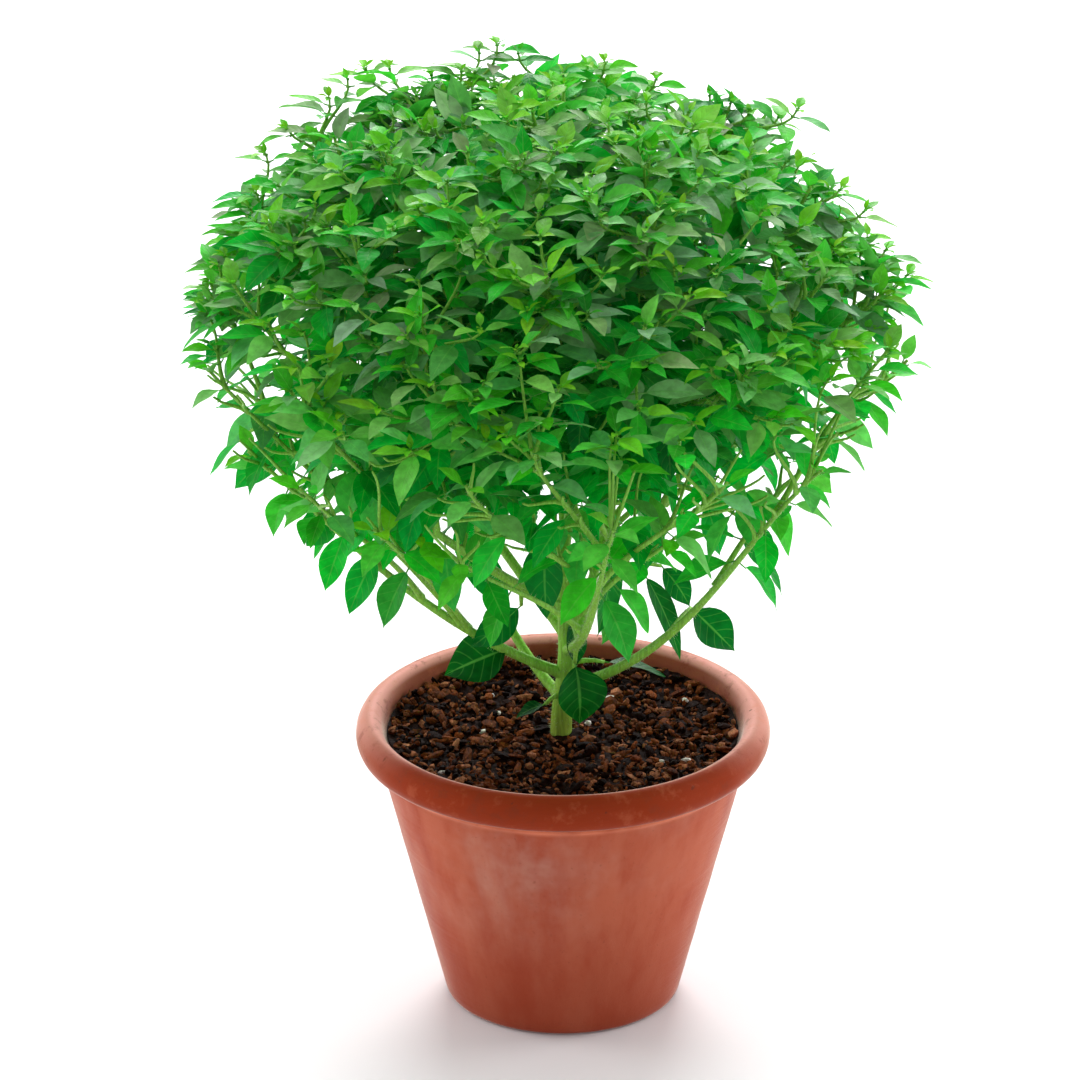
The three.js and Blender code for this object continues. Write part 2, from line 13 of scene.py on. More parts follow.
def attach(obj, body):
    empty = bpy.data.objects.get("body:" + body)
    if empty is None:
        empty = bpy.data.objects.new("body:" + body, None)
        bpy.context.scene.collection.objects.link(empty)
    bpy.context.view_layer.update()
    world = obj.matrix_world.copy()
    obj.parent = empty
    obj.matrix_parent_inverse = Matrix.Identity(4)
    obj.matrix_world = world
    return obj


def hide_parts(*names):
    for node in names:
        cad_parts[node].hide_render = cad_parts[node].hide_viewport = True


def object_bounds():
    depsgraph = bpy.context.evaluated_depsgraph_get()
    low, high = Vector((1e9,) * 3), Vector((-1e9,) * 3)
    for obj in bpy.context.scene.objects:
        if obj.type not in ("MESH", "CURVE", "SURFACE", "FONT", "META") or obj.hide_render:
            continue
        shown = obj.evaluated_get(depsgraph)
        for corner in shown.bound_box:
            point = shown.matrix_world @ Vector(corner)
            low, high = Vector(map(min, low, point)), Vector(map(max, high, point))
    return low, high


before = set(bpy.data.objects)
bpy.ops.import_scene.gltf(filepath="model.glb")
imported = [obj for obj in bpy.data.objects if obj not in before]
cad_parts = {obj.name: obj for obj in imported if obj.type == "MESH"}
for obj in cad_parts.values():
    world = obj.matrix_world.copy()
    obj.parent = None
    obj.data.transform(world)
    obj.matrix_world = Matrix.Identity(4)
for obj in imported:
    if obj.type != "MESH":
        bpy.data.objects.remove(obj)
cad_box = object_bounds()

# Everything is worked out in millimetres, as in the CAD source, and scaled when a mesh is made.
MM = 0.001
UP = np.array([0.0, 0.0, 1.0])
CLOSE = 0.05
BOX_MARGIN = 0.3

# The growth rule of the CAD source, so that fine stems and leaves lie where its solids are.
GAP = 0.3
SOIL_LEVEL = 93
SOIL_RELIEF = 1.8
SOIL_DISH = 2.4
SOIL_EDGE = 59.3
STEM_ROOT_Z = 62
STEM_TOP_Z = 160
STEM_RADIUS = 4.2
STEM_TOP_RADIUS = 2.5
LOWEST_FORK_Z = 106
AXIS_RADIUS = 1.9
SHOOT_RADIUS = 1.1
TIP_RADIUS = 0.7
LONGEST_STRETCH = 30
FIRST_LEAF = 7
LOWEST_LEAF_Z = 170
CROWN_CENTRE = np.array([-2.0, -2.0, 224.0])
CROWN_RADIUS = 117
CROWN_RISE = 96
CROWN_FALL = 98
RISE_POWER = 2.25
FALL_POWER = 1
CROWN_LEAN = 0.15
CROWN_TILT = 0.05
LOWEST_POLAR = radians(112)
TOP_POLAR = radians(45)
LEAFY_STEMS = 12
SHOOT_TIPS = 65
SHOOT_ANGLE = radians(36)
UPTURN = 1.1
ARRIVAL = 0.3
AXIS_LEAVE = radians(16)
AXIS_SPREAD = 0.52
AXIS_REACH = 0.38
SHOOT_REACH = 0.35
SHOOT_OUT = 0.35
AXIS_FORKS = np.linspace(0.3, 0.84, 28)
FORK_PLACES = np.linspace(0.25, 0.9, 131)
GOLDEN_ANGLE = pi * (3 - sqrt(5))
SEED = 4.2
CHANCE_STEPS = (127.1, 311.7)
CHANCE_SCALE = 43758.5453
LEAF_WIDTH = 0.45
TURN_WANDER = 0.25
RAISE_WANDER = 0.16
LENGTH_WANDER = 0.12
LOW_DROOP = 1.1
FLATNESS = 0.6
FACE_UP = 1.6
ARCH = 0.05
LEAF_ROOT = 1.7
SHOOT_ROOT = 2.6
BENDS = [0, 0.3, -0.3, 0.6, -0.6]
TOP_SHOOT_PAIRS = 3
SIDE_SHOOT_PAIRS = 4
STALK_RADIUS = 1

Pair = namedtuple("Pair", "back length raised sag")
PAIRS = [
    Pair(back, length, radians(raised), sag)
    for back, length, raised, sag in [
        (2, 12, 50, 0), (9, 16, 26, 0.05), (20, 19, 12, 0.2), (35, 21, 8, 0.4),
        (54, 23, 4, 0.6), (76, 24, 0, 0.8), (98, 25, 0, 1.0),
    ]
]

# Ways that a blade can face.
FRONT, LEFT, RIGHT = (0, -0.9, 0.4), (-0.3, -0.8, 0.4), (0.3, -0.8, 0.4)
LowLeaf = namedtuple("LowLeaf", "base tip width face", defaults=[None])
LOW_LEAVES = [LowLeaf(*row) for row in [
    ((4, -12, 126), (6, -16, 105), 18),
    ((2, -5, 139), (5, -7, 122), 8),
    ((-18, -2, 127), (-40, -6, 119), 17, (0, -0.8, 0.6)),
    ((-14, -7, 145), (-31, -9, 130), 11, (0.2, -0.8, 0.4)),
    ((14, 4, 119), (35, 7, 113), 9),
    ((-6, -4, 107), (-16, -6, 103), 6),
    ((-6, -12, 174), (-6, -19, 145), 14),
    ((16, -10, 168), (12, -14, 136), 13),
    ((-36, -12, 172), (-17, -13, 146), 12, (0, -0.8, 0.6)),
    ((27, -5, 156), (40, -6, 124), 9, (0.6, -0.7, 0.2)),
    ((15, 9, 140), (14, 12, 122), 10),
    ((43, 4, 139), (58, 2, 124), 13, (0.2, -0.8, 0.5)),
    ((33, 2, 154), (43, 0, 140), 9, RIGHT),
    ((60, -6, 176), (70, -8, 157), 11, RIGHT),
    ((47, -12, 186), (53, -14, 166), 10, RIGHT),
    ((-76, -8, 180), (-86, -10, 168), 13, LEFT),
    ((-62, -14, 168), (-72, -17, 146), 11, LEFT),
    ((-20, 26, 168), (-24, 34, 142), 13),
    ((26, 30, 166), (32, 38, 141), 13),
]]
LOW_LEAF_SHIFTS = [(0, 0), (0, -3), (0, 3), (3, -4), (-3, -4), (0, -8), (0, 8)]

# What the scene adds to the crown: bud leaves, pairs between the CAD pairs, and twigs of its own.
# A row gives a pair's distance back from the tip, length, raise, sag and age.
BUD_PAIRS = [(-1.5, 3, 1.35, 0, 0), (-0.5, 5.2, 1.0, 0, 0.05)]
BETWEEN_PAIRS = [
    (5, 11, 0.65, 0, 0.28),
    (14, 14.5, 0.35, 0, 0.42),
    (27, 17, 0.2, 0.15, 0.6),
    (44, 19, 0.1, 0.35, 0.78),
    (64, 20, 0, 0.6, 0.9),
]
TWIG_TIPS = 560
TWIG_PAIRS = [
    (-1.2, 3.4, 1.35, 0, 0),
    (-0.4, 6.5, 1.0, 0, 0.05),
    (2, 12.5, 0.7, 0, 0.18),
    (7, 17, 0.35, 0, 0.35),
    (14, 19.5, 0.15, 0.05, 0.55),
    (24, 20, 0.05, 0.2, 0.75),
]
INNER_TIPS = 520
INNER_PAIRS = [
    (0.5, 12, 0.7, 0.15, 0.7),
    (8, 17, 0.35, 0.3, 0.8),
    (19, 20, 0.15, 0.5, 0.9),
    (32, 22, 0, 0.7, 1.0),
]
SPRIG_PAIRS = [
    (-1.2, 4, 1.2, 0, 0),
    (0, 7, 0.8, 0, 0.08),
    (2.5, 13, 0.3, 0, 0.35),
    (7, 15, 0.15, 0.05, 0.5),
    (14, 17, 0.1, 0.1, 0.65),
    (24, 18, 0.05, 0.2, 0.75),
]
# Where sprigs stand out of the crown.
SPRIGS = [
    (-22, 58, 321), (-66, 54, 314), (14, 52, 317), (0, 50, 314), (49, 50, 306), (-78, 45, 307),
    (-72, 50, 312), (-58, 52, 315), (-28, 56, 319), (-15, 56, 319), (8, 54, 315), (56, 48, 304),
    (72, 48, 299), (-44, 56, 311), (-34, 52, 314), (31, 52, 311), (-92, 40, 298), (62, 46, 301),
    (-99, 30, 293), (-104, 12, 281), (-108, 6, 275), (-112, 2, 268), (-118, -4, 258), (-108, 30, 274),
    (78, 42, 304), (92, 12, 288), (100, 10, 281), (107, 5, 269), (114, 0, 262), (110, -6, 238),
    (-22, -60, 306),
]
# Leaves that hang at the crown's lower edge.
HANGING_LEAVES = [LowLeaf(*row) for row in [
    ((-92, -10, 206), (-110, -12, 190), 12, (-0.3, -0.8, 0.5)),
    ((-70, -13, 211), (-95, -15, 202), 9, (-0.2, -0.7, 0.6)),
    ((-66, -12, 194), (-70, -14, 174), 8, FRONT),
    ((-48, -12, 186), (-58, -13, 168), 7.5, (0, -0.8, 0.4)),
    ((-106, -4, 206), (-119, -5, 191), 6),
    ((-100, -2, 215), (-113, -3, 201), 7.5, LEFT),
    ((-78, -14, 203), (-85, -16, 187), 7.5, LEFT),
    ((-30, -20, 186), (-34, -23, 166), 9, FRONT),
    ((6, -22, 190), (9, -25, 168), 9, FRONT),
    ((30, -16, 186), (28, -19, 163), 9.5, FRONT),
    ((68, -6, 187), (76, -8, 163), 7.5, (0.4, -0.8, 0.3)),
    ((58, -6, 181), (70, -7, 177), 6.5, (0.2, -0.7, 0.6)),
    ((80, -6, 195), (90, -7, 186), 7.5, RIGHT),
    ((86, -6, 212), (91, -8, 197), 7.5, RIGHT),
    ((90, 0, 213), (104, -2, 200), 7.5, RIGHT),
    ((100, 0, 222), (112, -1, 212), 6.5),
]]
# Leaves older than this are darker and never get the painted grey sheen.
OLD_AGE = 1.1
LOW_LEAF_AGE = 1.3
# Directions lower than these get fewer twigs, and no inner ones.
THINNED_BELOW = -0.1
INNER_LOWEST = -0.3
# Added leaves lie flatter than those of the CAD source, and are slimmer.
ADDED_FLATNESS = 0.3
ADDED_FACE_UP = 3.2
ADDED_WIDTH = 0.4
LEAF_ROLL = 0.9
# How far an added leaf's turn, raise, sag, length and width stray.
STRAY = namedtuple("Stray", "turn raised sag length width")(0.3, 0.2, 0.12, 0.18, 0.12)
CAD_PETIOLE = 0.12
ADDED_PETIOLE = 0.14
LOW_PETIOLE = 0.06
# The lower they are, the larger they are.
LARGER_HEIGHTS = [200, 265]
LARGER_LEAVES = [1.22, 1.02]
# Under the crown they keep inside a cone, given by two heights and its radius at each.
ADDED_FLOOR_Z = 189
CONE_X = -6
CONE_LOW = (160, 50)
CONE_HIGH = (215, 93)
TWIG_RADIUS = 0.75
TWIG_TIP_RADIUS = 0.4
TWIG_CLEARANCE = 7
# Twigs are longer than this where they can be.
TWIG_SHORTEST = 12
# Added leaves stand at least this far from a branch's start.
FIRST_ADDED = 3
# The first of the counters that give each kind of thing its own random numbers.
BRANCH_LOT = 5000
TWIG_LOT = 20000
HAIR_LOT = 40000


def unit(vector):
    return vector / norm(vector)


def square_to(along, vector):
    """The direction square to another that is nearest to a vector."""
    return unit(vector - along * (vector @ along))


def lerp(a, b, share):
    return a + (b - a) * share


def rescale(value, low, high, to_low, to_high):
    return to_low + (to_high - to_low) * (value - low) / (high - low)


def chance(a, b):
    """A repeatable random number from 0 to 1 for two counters."""
    wave = sin(a * CHANCE_STEPS[0] + b * CHANCE_STEPS[1] + SEED) * CHANCE_SCALE
    return wave - floor(wave)


def jitter(a, b):
    return 2 * chance(a, b) - 1


class Curve:
    """A curve that is read by its share of length, as the CAD source reads it."""

    def __init__(self, at):
        self.at = at
        self.times = np.linspace(0, 1, 201)
        steps = norm(np.diff(at(self.times), axis=0), axis=1)
        self.lengths = np.concatenate([[0], np.cumsum(steps)])
        self.length = self.lengths[-1]

    def time(self, share):
        return np.interp(np.asarray(share, float) * self.length, self.lengths, self.times)

    def point(self, share):
        return self.at(self.time(share))

    def tangent(self, share):
        time = self.time(share)
        ahead = self.at(np.minimum(time + 1e-4, 1)) - self.at(np.maximum(time - 1e-4, 0))
        return ahead / norm(ahead, axis=-1, keepdims=True)


def cubic(a, b, c, d):
    def at(time):
        t = np.asarray(time)[..., None]
        s = 1 - t
        return s**3 * a + 3 * s * s * t * b + 3 * s * t * t * c + t**3 * d

    return Curve(at)


def quadratic(a, b, c):
    return cubic(a, lerp(a, b, 2 / 3), lerp(c, b, 2 / 3), c)


def spline_through(points):
    """The centripetal spline through a row of points."""
    points = np.array(points, float)
    row = np.vstack([2 * points[0] - points[1], points, 2 * points[-1] - points[-2]])

    def at(time):
        place = np.asarray(time, float) * (len(points) - 1)
        i = np.minimum(place.astype(int), len(points) - 2)
        w = (place - i)[..., None]
        p0, p1, p2, p3 = (row[i + k] for k in range(4))
        d0, d1, d2 = (
            ((b - a) ** 2).sum(-1, keepdims=True) ** 0.25 for a, b in ((p0, p1), (p1, p2), (p2, p3))
        )
        m1 = ((p1 - p0) / d0 - (p2 - p0) / (d0 + d1) + (p2 - p1) / d1) * d1
        m2 = ((p2 - p1) / d1 - (p3 - p1) / (d1 + d2) + (p3 - p2) / d2) * d1
        high = -3 * p1 + 3 * p2 - 2 * m1 - m2
        return p1 + w * (m1 + w * (high + w * (2 * p1 - 2 * p2 + m1 + m2)))

    return Curve(at)


main_stem = spline_through(
    [(0, 3, STEM_ROOT_Z), (-0.5, 3, SOIL_LEVEL + 4), (1.5, 1.5, 124), (-0.5, 1, STEM_TOP_Z)]
)


def main_stem_at(z):
    return main_stem.point(rescale(z, STEM_ROOT_Z, STEM_TOP_Z, 0, 1))


def leaning(polar, azimuth):
    out = sin(polar)
    return np.array([out * cos(azimuth), out * sin(azimuth), cos(polar)])


Tip = namedtuple("Tip", "polar azimuth direction point")


def crown_point(direction):
    rises = direction[2] > 0
    height, power = (CROWN_RISE, RISE_POWER) if rises else (CROWN_FALL, FALL_POWER)
    level = hypot(direction[0], direction[1]) / CROWN_RADIUS
    reach = (abs(direction[2] / height) ** power + level**power) ** (-1 / power)
    shift = np.array([-CROWN_LEAN * max(0, direction[2]), 0, CROWN_TILT * direction[0]])
    return CROWN_CENTRE + (direction + shift) * reach


def crown_tips(count, turn, wander):
    """Tips spread evenly over the crown from its top to its lower edge."""
    tips = []
    for i in range(count):
        share = (i + 0.5 + wander * 0.4 * jitter(i, 1)) / count
        polar = acos(1 - share * (1 - cos(LOWEST_POLAR)))
        azimuth = i * GOLDEN_ANGLE + turn + wander * 0.25 * jitter(i, 2) / sin(polar)
        direction = leaning(polar, azimuth)
        tips.append(Tip(polar, azimuth, direction, crown_point(direction)))
    return tips


def curve_to(tip, start, leave, reach):
    """The curve from a start to a tip, where it points outwards and up."""
    length = norm(tip.point - start)
    arrive = unit(tip.direction + UPTURN * UP)
    before = tip.point - ARRIVAL * length * arrive
    return cubic(start, start + leave * reach * length, before, tip.point)


def angle_between(a, b):
    return acos(max(-1.0, min(1.0, float(unit(a) @ unit(b)))))


def guide_across(curve, share):
    return UP if abs(curve.tangent(share)[2]) < 0.95 else np.array([1.0, 0, 0])


def sections_along(curve, shares, radii, sides, guide):
    """The corners of each section of a tube along a curve, laid without twist."""
    turns = 2 * pi * np.arange(sides)[:, None] / sides
    first = guide
    rings = []
    for share, radius in zip(shares, radii):
        along = curve.tangent(share)
        first = square_to(along, first)
        second = np.cross(along, first)
        rings.append(curve.point(share) + radius * (np.cos(turns) * first + np.sin(turns) * second))
    return np.array(rings)


def fork_share(axis, tip, is_free):
    """Where along its axis a side shoot leaves."""

    def off(place):
        sight = tip.point - axis.point(place)
        return abs(angle_between(sight, axis.tangent(place)) - SHOOT_ANGLE)

    wanted = min(AXIS_FORKS, key=off)
    free = [place for place in FORK_PLACES if is_free(place)]
    return min(free, key=lambda place: abs(place - wanted))


class Branch:
    """An axis or a side shoot of the CAD source: its sections, and where things grow on it."""

    def __init__(self, curve, tip, start, radius, pairs, key, tips=(), root=None):
        self.curve, self.tip, self.start, self.key = curve, tip, start, key
        self.radius = radius
        length = curve.length
        nodes = [
            (1 - pair.back / length, LEAF_ROOT / 2 / length, order, None)
            for order, pair in enumerate(PAIRS[:pairs])
            if length * (1 - start) - pair.back > FIRST_LEAF
            and curve.point(1 - pair.back / length)[2] > LOWEST_LEAF_Z
        ]
        half = SHOOT_ROOT / 2 / length
        for other in tips:
            apart = half + 3 * GAP / length
            place = fork_share(
                curve, other, lambda at: all(abs(n[0] - at) > n[1] + apart for n in nodes)
            )
            nodes.append((place, half, None, other))
        shares, self.leaves, self.forks = [start], [], []
        for at, half, order, other in sorted(nodes, key=lambda n: n[0]):
            steps = max(1, ceil((at - half - shares[-1]) * length / LONGEST_STRETCH))
            shares += list(np.linspace(shares[-1], at - half, steps + 1)[1:]) + [at + half]
            stretch = len(shares) - 2
            if other:
                self.forks.append((other, stretch, at))
            else:
                self.leaves += [(order, at, stretch, side) for side in (order % 2, order % 2 + 2)]
        shares.append(1)
        radii = np.interp(shares, [start, 1], [radius, TIP_RADIUS])
        guide = guide_across(curve, start) if root is None else root[0] - curve.point(start)
        self.sections = sections_along(curve, shares, radii, 4, guide)
        self.guide = guide
        if root is not None:
            self.sections[0] = root

    def face(self, stretch, side):
        below, above = self.sections[stretch], self.sections[stretch + 1]
        after = (side + 1) % 4
        return np.array([below[side], below[after], above[after], above[side]])


def axis_of(tip, order):
    start = main_stem_at(lerp(STEM_TOP_Z - 2, LOWEST_FORK_Z, order / (LEAFY_STEMS - 1)))
    leave = leaning(AXIS_LEAVE + AXIS_SPREAD * tip.polar, tip.azimuth)
    curve = curve_to(tip, start, leave, AXIS_REACH)
    lean = angle_between(curve.tangent(0), UP)
    radius = rescale(start[2], STEM_ROOT_Z, STEM_TOP_Z, STEM_RADIUS, STEM_TOP_RADIUS)
    stub = (radius + AXIS_RADIUS + 2 * GAP) / sin(lean) / curve.length
    return curve, stub + GAP / curve.length


def shoot_of(axis, fork, key):
    """A side shoot on the face of its axis that looks most towards the shoot's tip."""
    tip, stretch, at = fork
    centre = axis.curve.point(at)
    outs = [unit(axis.face(stretch, side).mean(0) - centre) for side in range(4)]
    side = max(range(4), key=lambda item: outs[item] @ (tip.point - centre))
    root = axis.face(stretch, side)
    start = root.mean(0)
    leave = unit(unit(tip.point - start) + axis.curve.tangent(at))
    leave = unit(leave + SHOOT_OUT * outs[side])
    pairs = TOP_SHOOT_PAIRS if tip.polar < TOP_POLAR else SIDE_SHOOT_PAIRS
    curve = curve_to(tip, start, leave, SHOOT_REACH)
    return Branch(curve, tip, 0, SHOOT_RADIUS, pairs, key, root=root)


def cad_points(name):
    """The corners of a CAD node, for finding what is there."""
    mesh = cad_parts[name].data
    points = np.zeros(len(mesh.vertices) * 3)
    mesh.vertices.foreach_get("co", points)
    points = np.unique(points.reshape(-1, 3).round(6), axis=0) / MM
    tree = KDTree(len(points))
    for i, point in enumerate(points):
        tree.insert(point, i)
    tree.balance()
    return tree


def stands(tree, point):
    return tree.find(Vector(point))[2] < CLOSE


Leaf = namedtuple("Leaf", "root towards face length width age petiole lot")


def blade_tip(leaf):
    """The corner that the CAD blade of a leaf ends in."""
    normal = square_to(leaf.towards, leaf.face)
    return leaf.root + leaf.length * (leaf.towards - ARCH * normal)


def leaf_towards(along, out, turn, raised, sag, flatness=FLATNESS):
    """Which way a leaf's blade points, from the ways its stem and its side of the stem face."""
    across = np.cross(along, out)
    level = out * cos(turn) + across * sin(turn)
    towards = level * cos(raised) + along * sin(raised)
    return unit(towards * [1, 1, flatness] - sag * UP)


def sag_of(branch_tip, out, sag):
    droop = LOW_DROOP * max(0, -cos(branch_tip.polar))
    return (sag * (0.6 + 0.8 * sin(branch_tip.polar)) + droop) * (1 - max(0, out[2]))


def cad_leaves(branch, tree):
    """The leaves that the CAD branch carries, each with the bend that its solid was given."""
    found = []
    for order, at, stretch, side in branch.leaves:
        pair = PAIRS[order]
        lot = branch.key * 32 + order * 4 + side
        along = branch.curve.tangent(at)
        centre = branch.face(stretch, side).mean(0)
        out = unit(centre - branch.curve.point(at))
        sag = sag_of(branch.tip, out, pair.sag)
        length = pair.length * (1 + LENGTH_WANDER * jitter(lot, 5))
        age = min(1, 0.25 + 0.15 * order)
        turn = TURN_WANDER * jitter(lot, 3)
        raised = pair.raised + RAISE_WANDER * jitter(lot, 4)
        face = along + FACE_UP * UP
        for more_turn, more_raise in product(BENDS, BENDS):
            towards = leaf_towards(along, out, turn + more_turn, raised + more_raise, sag)
            leaf = Leaf(centre, towards, face, length, length * LEAF_WIDTH, age, CAD_PETIOLE, lot)
            if stands(tree, blade_tip(leaf)):
                found.append(leaf)
                break
    return found


def added_leaves(curve, tip, start, pairs, lot, turn, guide):
    """Crossed leaf pairs of the scene's own along a branch."""
    leaves = []
    for order, (back, size, lift, hang, age) in enumerate(pairs):
        at = 1 - max(0, back) / curve.length
        if at < start + FIRST_ADDED / curve.length:
            break
        along = curve.tangent(at)
        first = square_to(along, guide)
        second = np.cross(along, first)
        root = curve.point(at) + along * max(0, -back) * 0.3
        widest = rescale(root[2], CONE_LOW[0], CONE_HIGH[0], CONE_LOW[1], CONE_HIGH[1])
        if root[2] < ADDED_FLOOR_Z or hypot(root[0] - CONE_X, root[1]) > widest:
            break
        grown = np.interp(root[2], LARGER_HEIGHTS, LARGER_LEAVES)
        for half in range(2):
            n = lot + order * 2 + half
            angle = turn + (order % 2) * pi / 2 + half * pi + STRAY.turn * jitter(n, 6)
            out = first * cos(angle) + second * sin(angle)
            sag = sag_of(tip, out, hang) + STRAY.sag * jitter(n, 10)
            raised = lift + STRAY.raised * jitter(n, 7)
            towards = leaf_towards(along, out, 0, raised, sag, ADDED_FLATNESS)
            length = grown * size * (1 + STRAY.length * jitter(n, 8))
            width = length * ADDED_WIDTH * (1 + STRAY.width * jitter(n, 9))
            face = along + ADDED_FACE_UP * UP + LEAF_ROLL * jitter(n, 11) * np.cross(towards, UP)
            leaves.append(Leaf(root, towards, face, length, width, age, ADDED_PETIOLE, n))
    return leaves


Tube = namedtuple("Tube", "curve radii sides guide age")


def plan_crown():
    """The tubes, leaves and branches of each leafy stem, and the tips that they grow to."""
    directions = [tip.direction for tip in crown_tips(LEAFY_STEMS, 0.7, 0)]
    tips = crown_tips(SHOOT_TIPS, 0.2, 1)
    nearest = [min(range(LEAFY_STEMS), key=lambda i: angle_between(t.direction, directions[i]))
               for t in tips]
    stems = []
    for order in range(LEAFY_STEMS):
        own = [t for t, i in zip(tips, nearest) if i == order]
        lead = min(own, key=lambda t: angle_between(t.direction, directions[order]))
        curve, start = axis_of(lead, order)
        others = [t for t in own if t is not lead]
        axis = Branch(curve, lead, start, AXIS_RADIUS, len(PAIRS), order * 20, tips=others)
        tree = cad_points("leafy_stem_%02d" % (order + 1))
        shoots = [shoot_of(axis, fork, order * 20 + n + 1) for n, fork in enumerate(axis.forks)]
        branches = [axis] + [s for s in shoots if all(stands(tree, p) for p in s.sections[-1][:2])]
        stem = {"tubes": [], "leaves": [], "tree": tree, "branches": branches}
        for branch in branches:
            radii = (branch.radius, TIP_RADIUS * 0.8)
            sides = 10 if branch is axis else 7
            stem["tubes"].append(Tube(branch.curve, radii, sides, branch.guide, 0.6))
            stem["leaves"] += cad_leaves(branch, tree)
            lot = BRANCH_LOT + branch.key * 40
            for pairs, first, turn in ((BUD_PAIRS, lot, 0.8), (BETWEEN_PAIRS, lot + 10, 0)):
                stem["leaves"] += added_leaves(
                    branch.curve, branch.tip, branch.start, pairs, first, turn, branch.guide
                )
        stems.append(stem)
    return stems, tips


def add_twigs(stems, tips):
    """Twigs of the scene's own, each from the branch that it would most naturally grow on."""
    places = []
    for order, stem in enumerate(stems):
        for branch in stem["branches"]:
            for share in np.linspace(max(0.25, branch.start), 0.93, 24):
                places.append((branch.curve.point(share), branch.curve.tangent(share), order))
    points = np.array([p[0] for p in places])
    tangents = np.array([p[1] for p in places])
    taken = np.array([t.point for t in tips])
    wanted = []
    for i, tip in enumerate(crown_tips(TWIG_TIPS, 1.9, 1)):
        is_free = norm(taken - tip.point, axis=1).min() > TWIG_CLEARANCE
        if is_free and (tip.direction[2] > THINNED_BELOW or chance(i, 34) > 0.5):
            wanted.append((tip, 0.92 + 0.09 * chance(i, 30), TWIG_PAIRS))
    for i, tip in enumerate(crown_tips(INNER_TIPS, 4.1, 1)):
        if tip.direction[2] > INNER_LOWEST:
            wanted.append((tip, 0.3 + 0.52 * chance(i, 33), INNER_PAIRS))
    for point in SPRIGS:
        direction = unit(np.array(point) - CROWN_CENTRE)
        tip = Tip(acos(direction[2]), 0, direction, np.array(point, float))
        wanted.append((tip, 1, SPRIG_PAIRS))
    for i, (tip, depth, pairs) in enumerate(wanted):
        point = CROWN_CENTRE + (tip.point - CROWN_CENTRE) * depth
        tip = tip._replace(point=point)
        sight = point - points
        distance = norm(sight, axis=1)
        bend = 1 - (sight * tangents).sum(1) / distance
        cost = distance + 30 * bend + np.where(distance < TWIG_SHORTEST, 100, 0)
        best = int(cost.argmin())
        start = points[best]
        leave = unit(unit(point - start) + 0.8 * tangents[best])
        curve = curve_to(tip, start, leave, SHOOT_REACH)
        is_sprig = pairs is SPRIG_PAIRS
        guide = np.array([1.0, 0.0, 0.0]) if is_sprig else guide_across(curve, 0)
        turn = 0 if is_sprig else 6 * chance(i, 32)
        stem = stems[places[best][2]]
        stem["tubes"].append(Tube(curve, (TWIG_RADIUS, TWIG_TIP_RADIUS), 5, guide, 0.35))
        stem["leaves"] += added_leaves(curve, tip, 0, pairs, TWIG_LOT + i * 16, turn, guide)


def hang_leaves(stems):
    """Hanging leaves of the scene's own, each on a stalk from the nearest branch."""
    places = [
        (branch.curve.point(share), stem)
        for stem in stems for branch in stem["branches"] for share in np.linspace(0.2, 0.95, 16)
    ]
    for spec in HANGING_LEAVES:
        leaf = low_leaf(spec, (0, 0))._replace(age=0.8 + 0.5 * chance(spec.width, 31))
        start, owner = min(places, key=lambda place: norm(place[0] - leaf.root))
        stalk = quadratic(start, (start + leaf.root) / 2 + 3 * UP, leaf.root)
        owner["tubes"].append(Tube(stalk, (0.8, 0.5), 6, guide_across(stalk, 0), 0.4))
        owner["leaves"].append(leaf)


def low_leaf(leaf, shift):
    base, tip = (np.array(place, float) + np.array([*shift, 0]) for place in (leaf.base, leaf.tip))
    towards = tip - base
    face = unit(np.array(leaf.face or [base[0], base[1], 8.0], float))
    length = norm(towards)
    lot = 900 + int(leaf.width * 7 + length * 3)
    return Leaf(base, unit(towards), face, length, leaf.width, LOW_LEAF_AGE, LOW_PETIOLE, lot)


def add_low_leaves(stems, trunk):
    """The large low leaves, each on the stalk that its CAD solid has."""
    owners = [trunk] + stems
    places = [
        (main_stem_at(z), trunk) for z in np.linspace(102, STEM_TOP_Z, 21)
    ] + [
        (stem["branches"][0].curve.point(share), stem)
        for stem in stems for share in np.linspace(0.15, 0.8, 14)
    ]
    for spec in LOW_LEAVES:
        tries = product([low_leaf(spec, shift) for shift in LOW_LEAF_SHIFTS], owners)
        fits = [(leaf, owner) for leaf, owner in tries if stands(owner["tree"], blade_tip(leaf))]
        if not fits:
            continue
        leaf, owner = fits[0]
        guide = unit(np.cross(leaf.towards, leaf.face)) - leaf.face
        near = sorted(
            (p for p in places if p[1] is owner), key=lambda p: norm(p[0] - leaf.root)
        )
        stalks = [
            quadratic(point, (point + leaf.root) / 2 + 2 * UP, leaf.root) for point, _ in near[:16]
        ]

        def misses(stalk):
            ring = sections_along(stalk, [0, 0.94 * 2 / 3], [1, STALK_RADIUS * 0.867], 4, guide)[1]
            return sum(owner["tree"].find(Vector(p))[2] for p in ring)

        stalk = min(stalks, key=misses)
        owner["tubes"].append(Tube(stalk, (1.0, 0.6), 8, guide, 0.8))
        owner["leaves"].append(leaf)


# Fine meshes

BLADE_STATIONS = np.array([0, 0.07, 0.2, 0.36, 0.54, 0.72, 0.88, 1])
BLADE_COLUMNS = np.array([-1, -0.5, 0, 0.5, 1])
LARGE_STATIONS = np.array(
    [0, 0.03, 0.08, 0.15, 0.23, 0.32, 0.42, 0.52, 0.62, 0.72, 0.81, 0.89, 0.95, 1]
)
LARGE_COLUMNS = np.linspace(-1, 1, 9)
PETIOLE_RADIUS = 0.38
BLADE_FOLD = 0.14
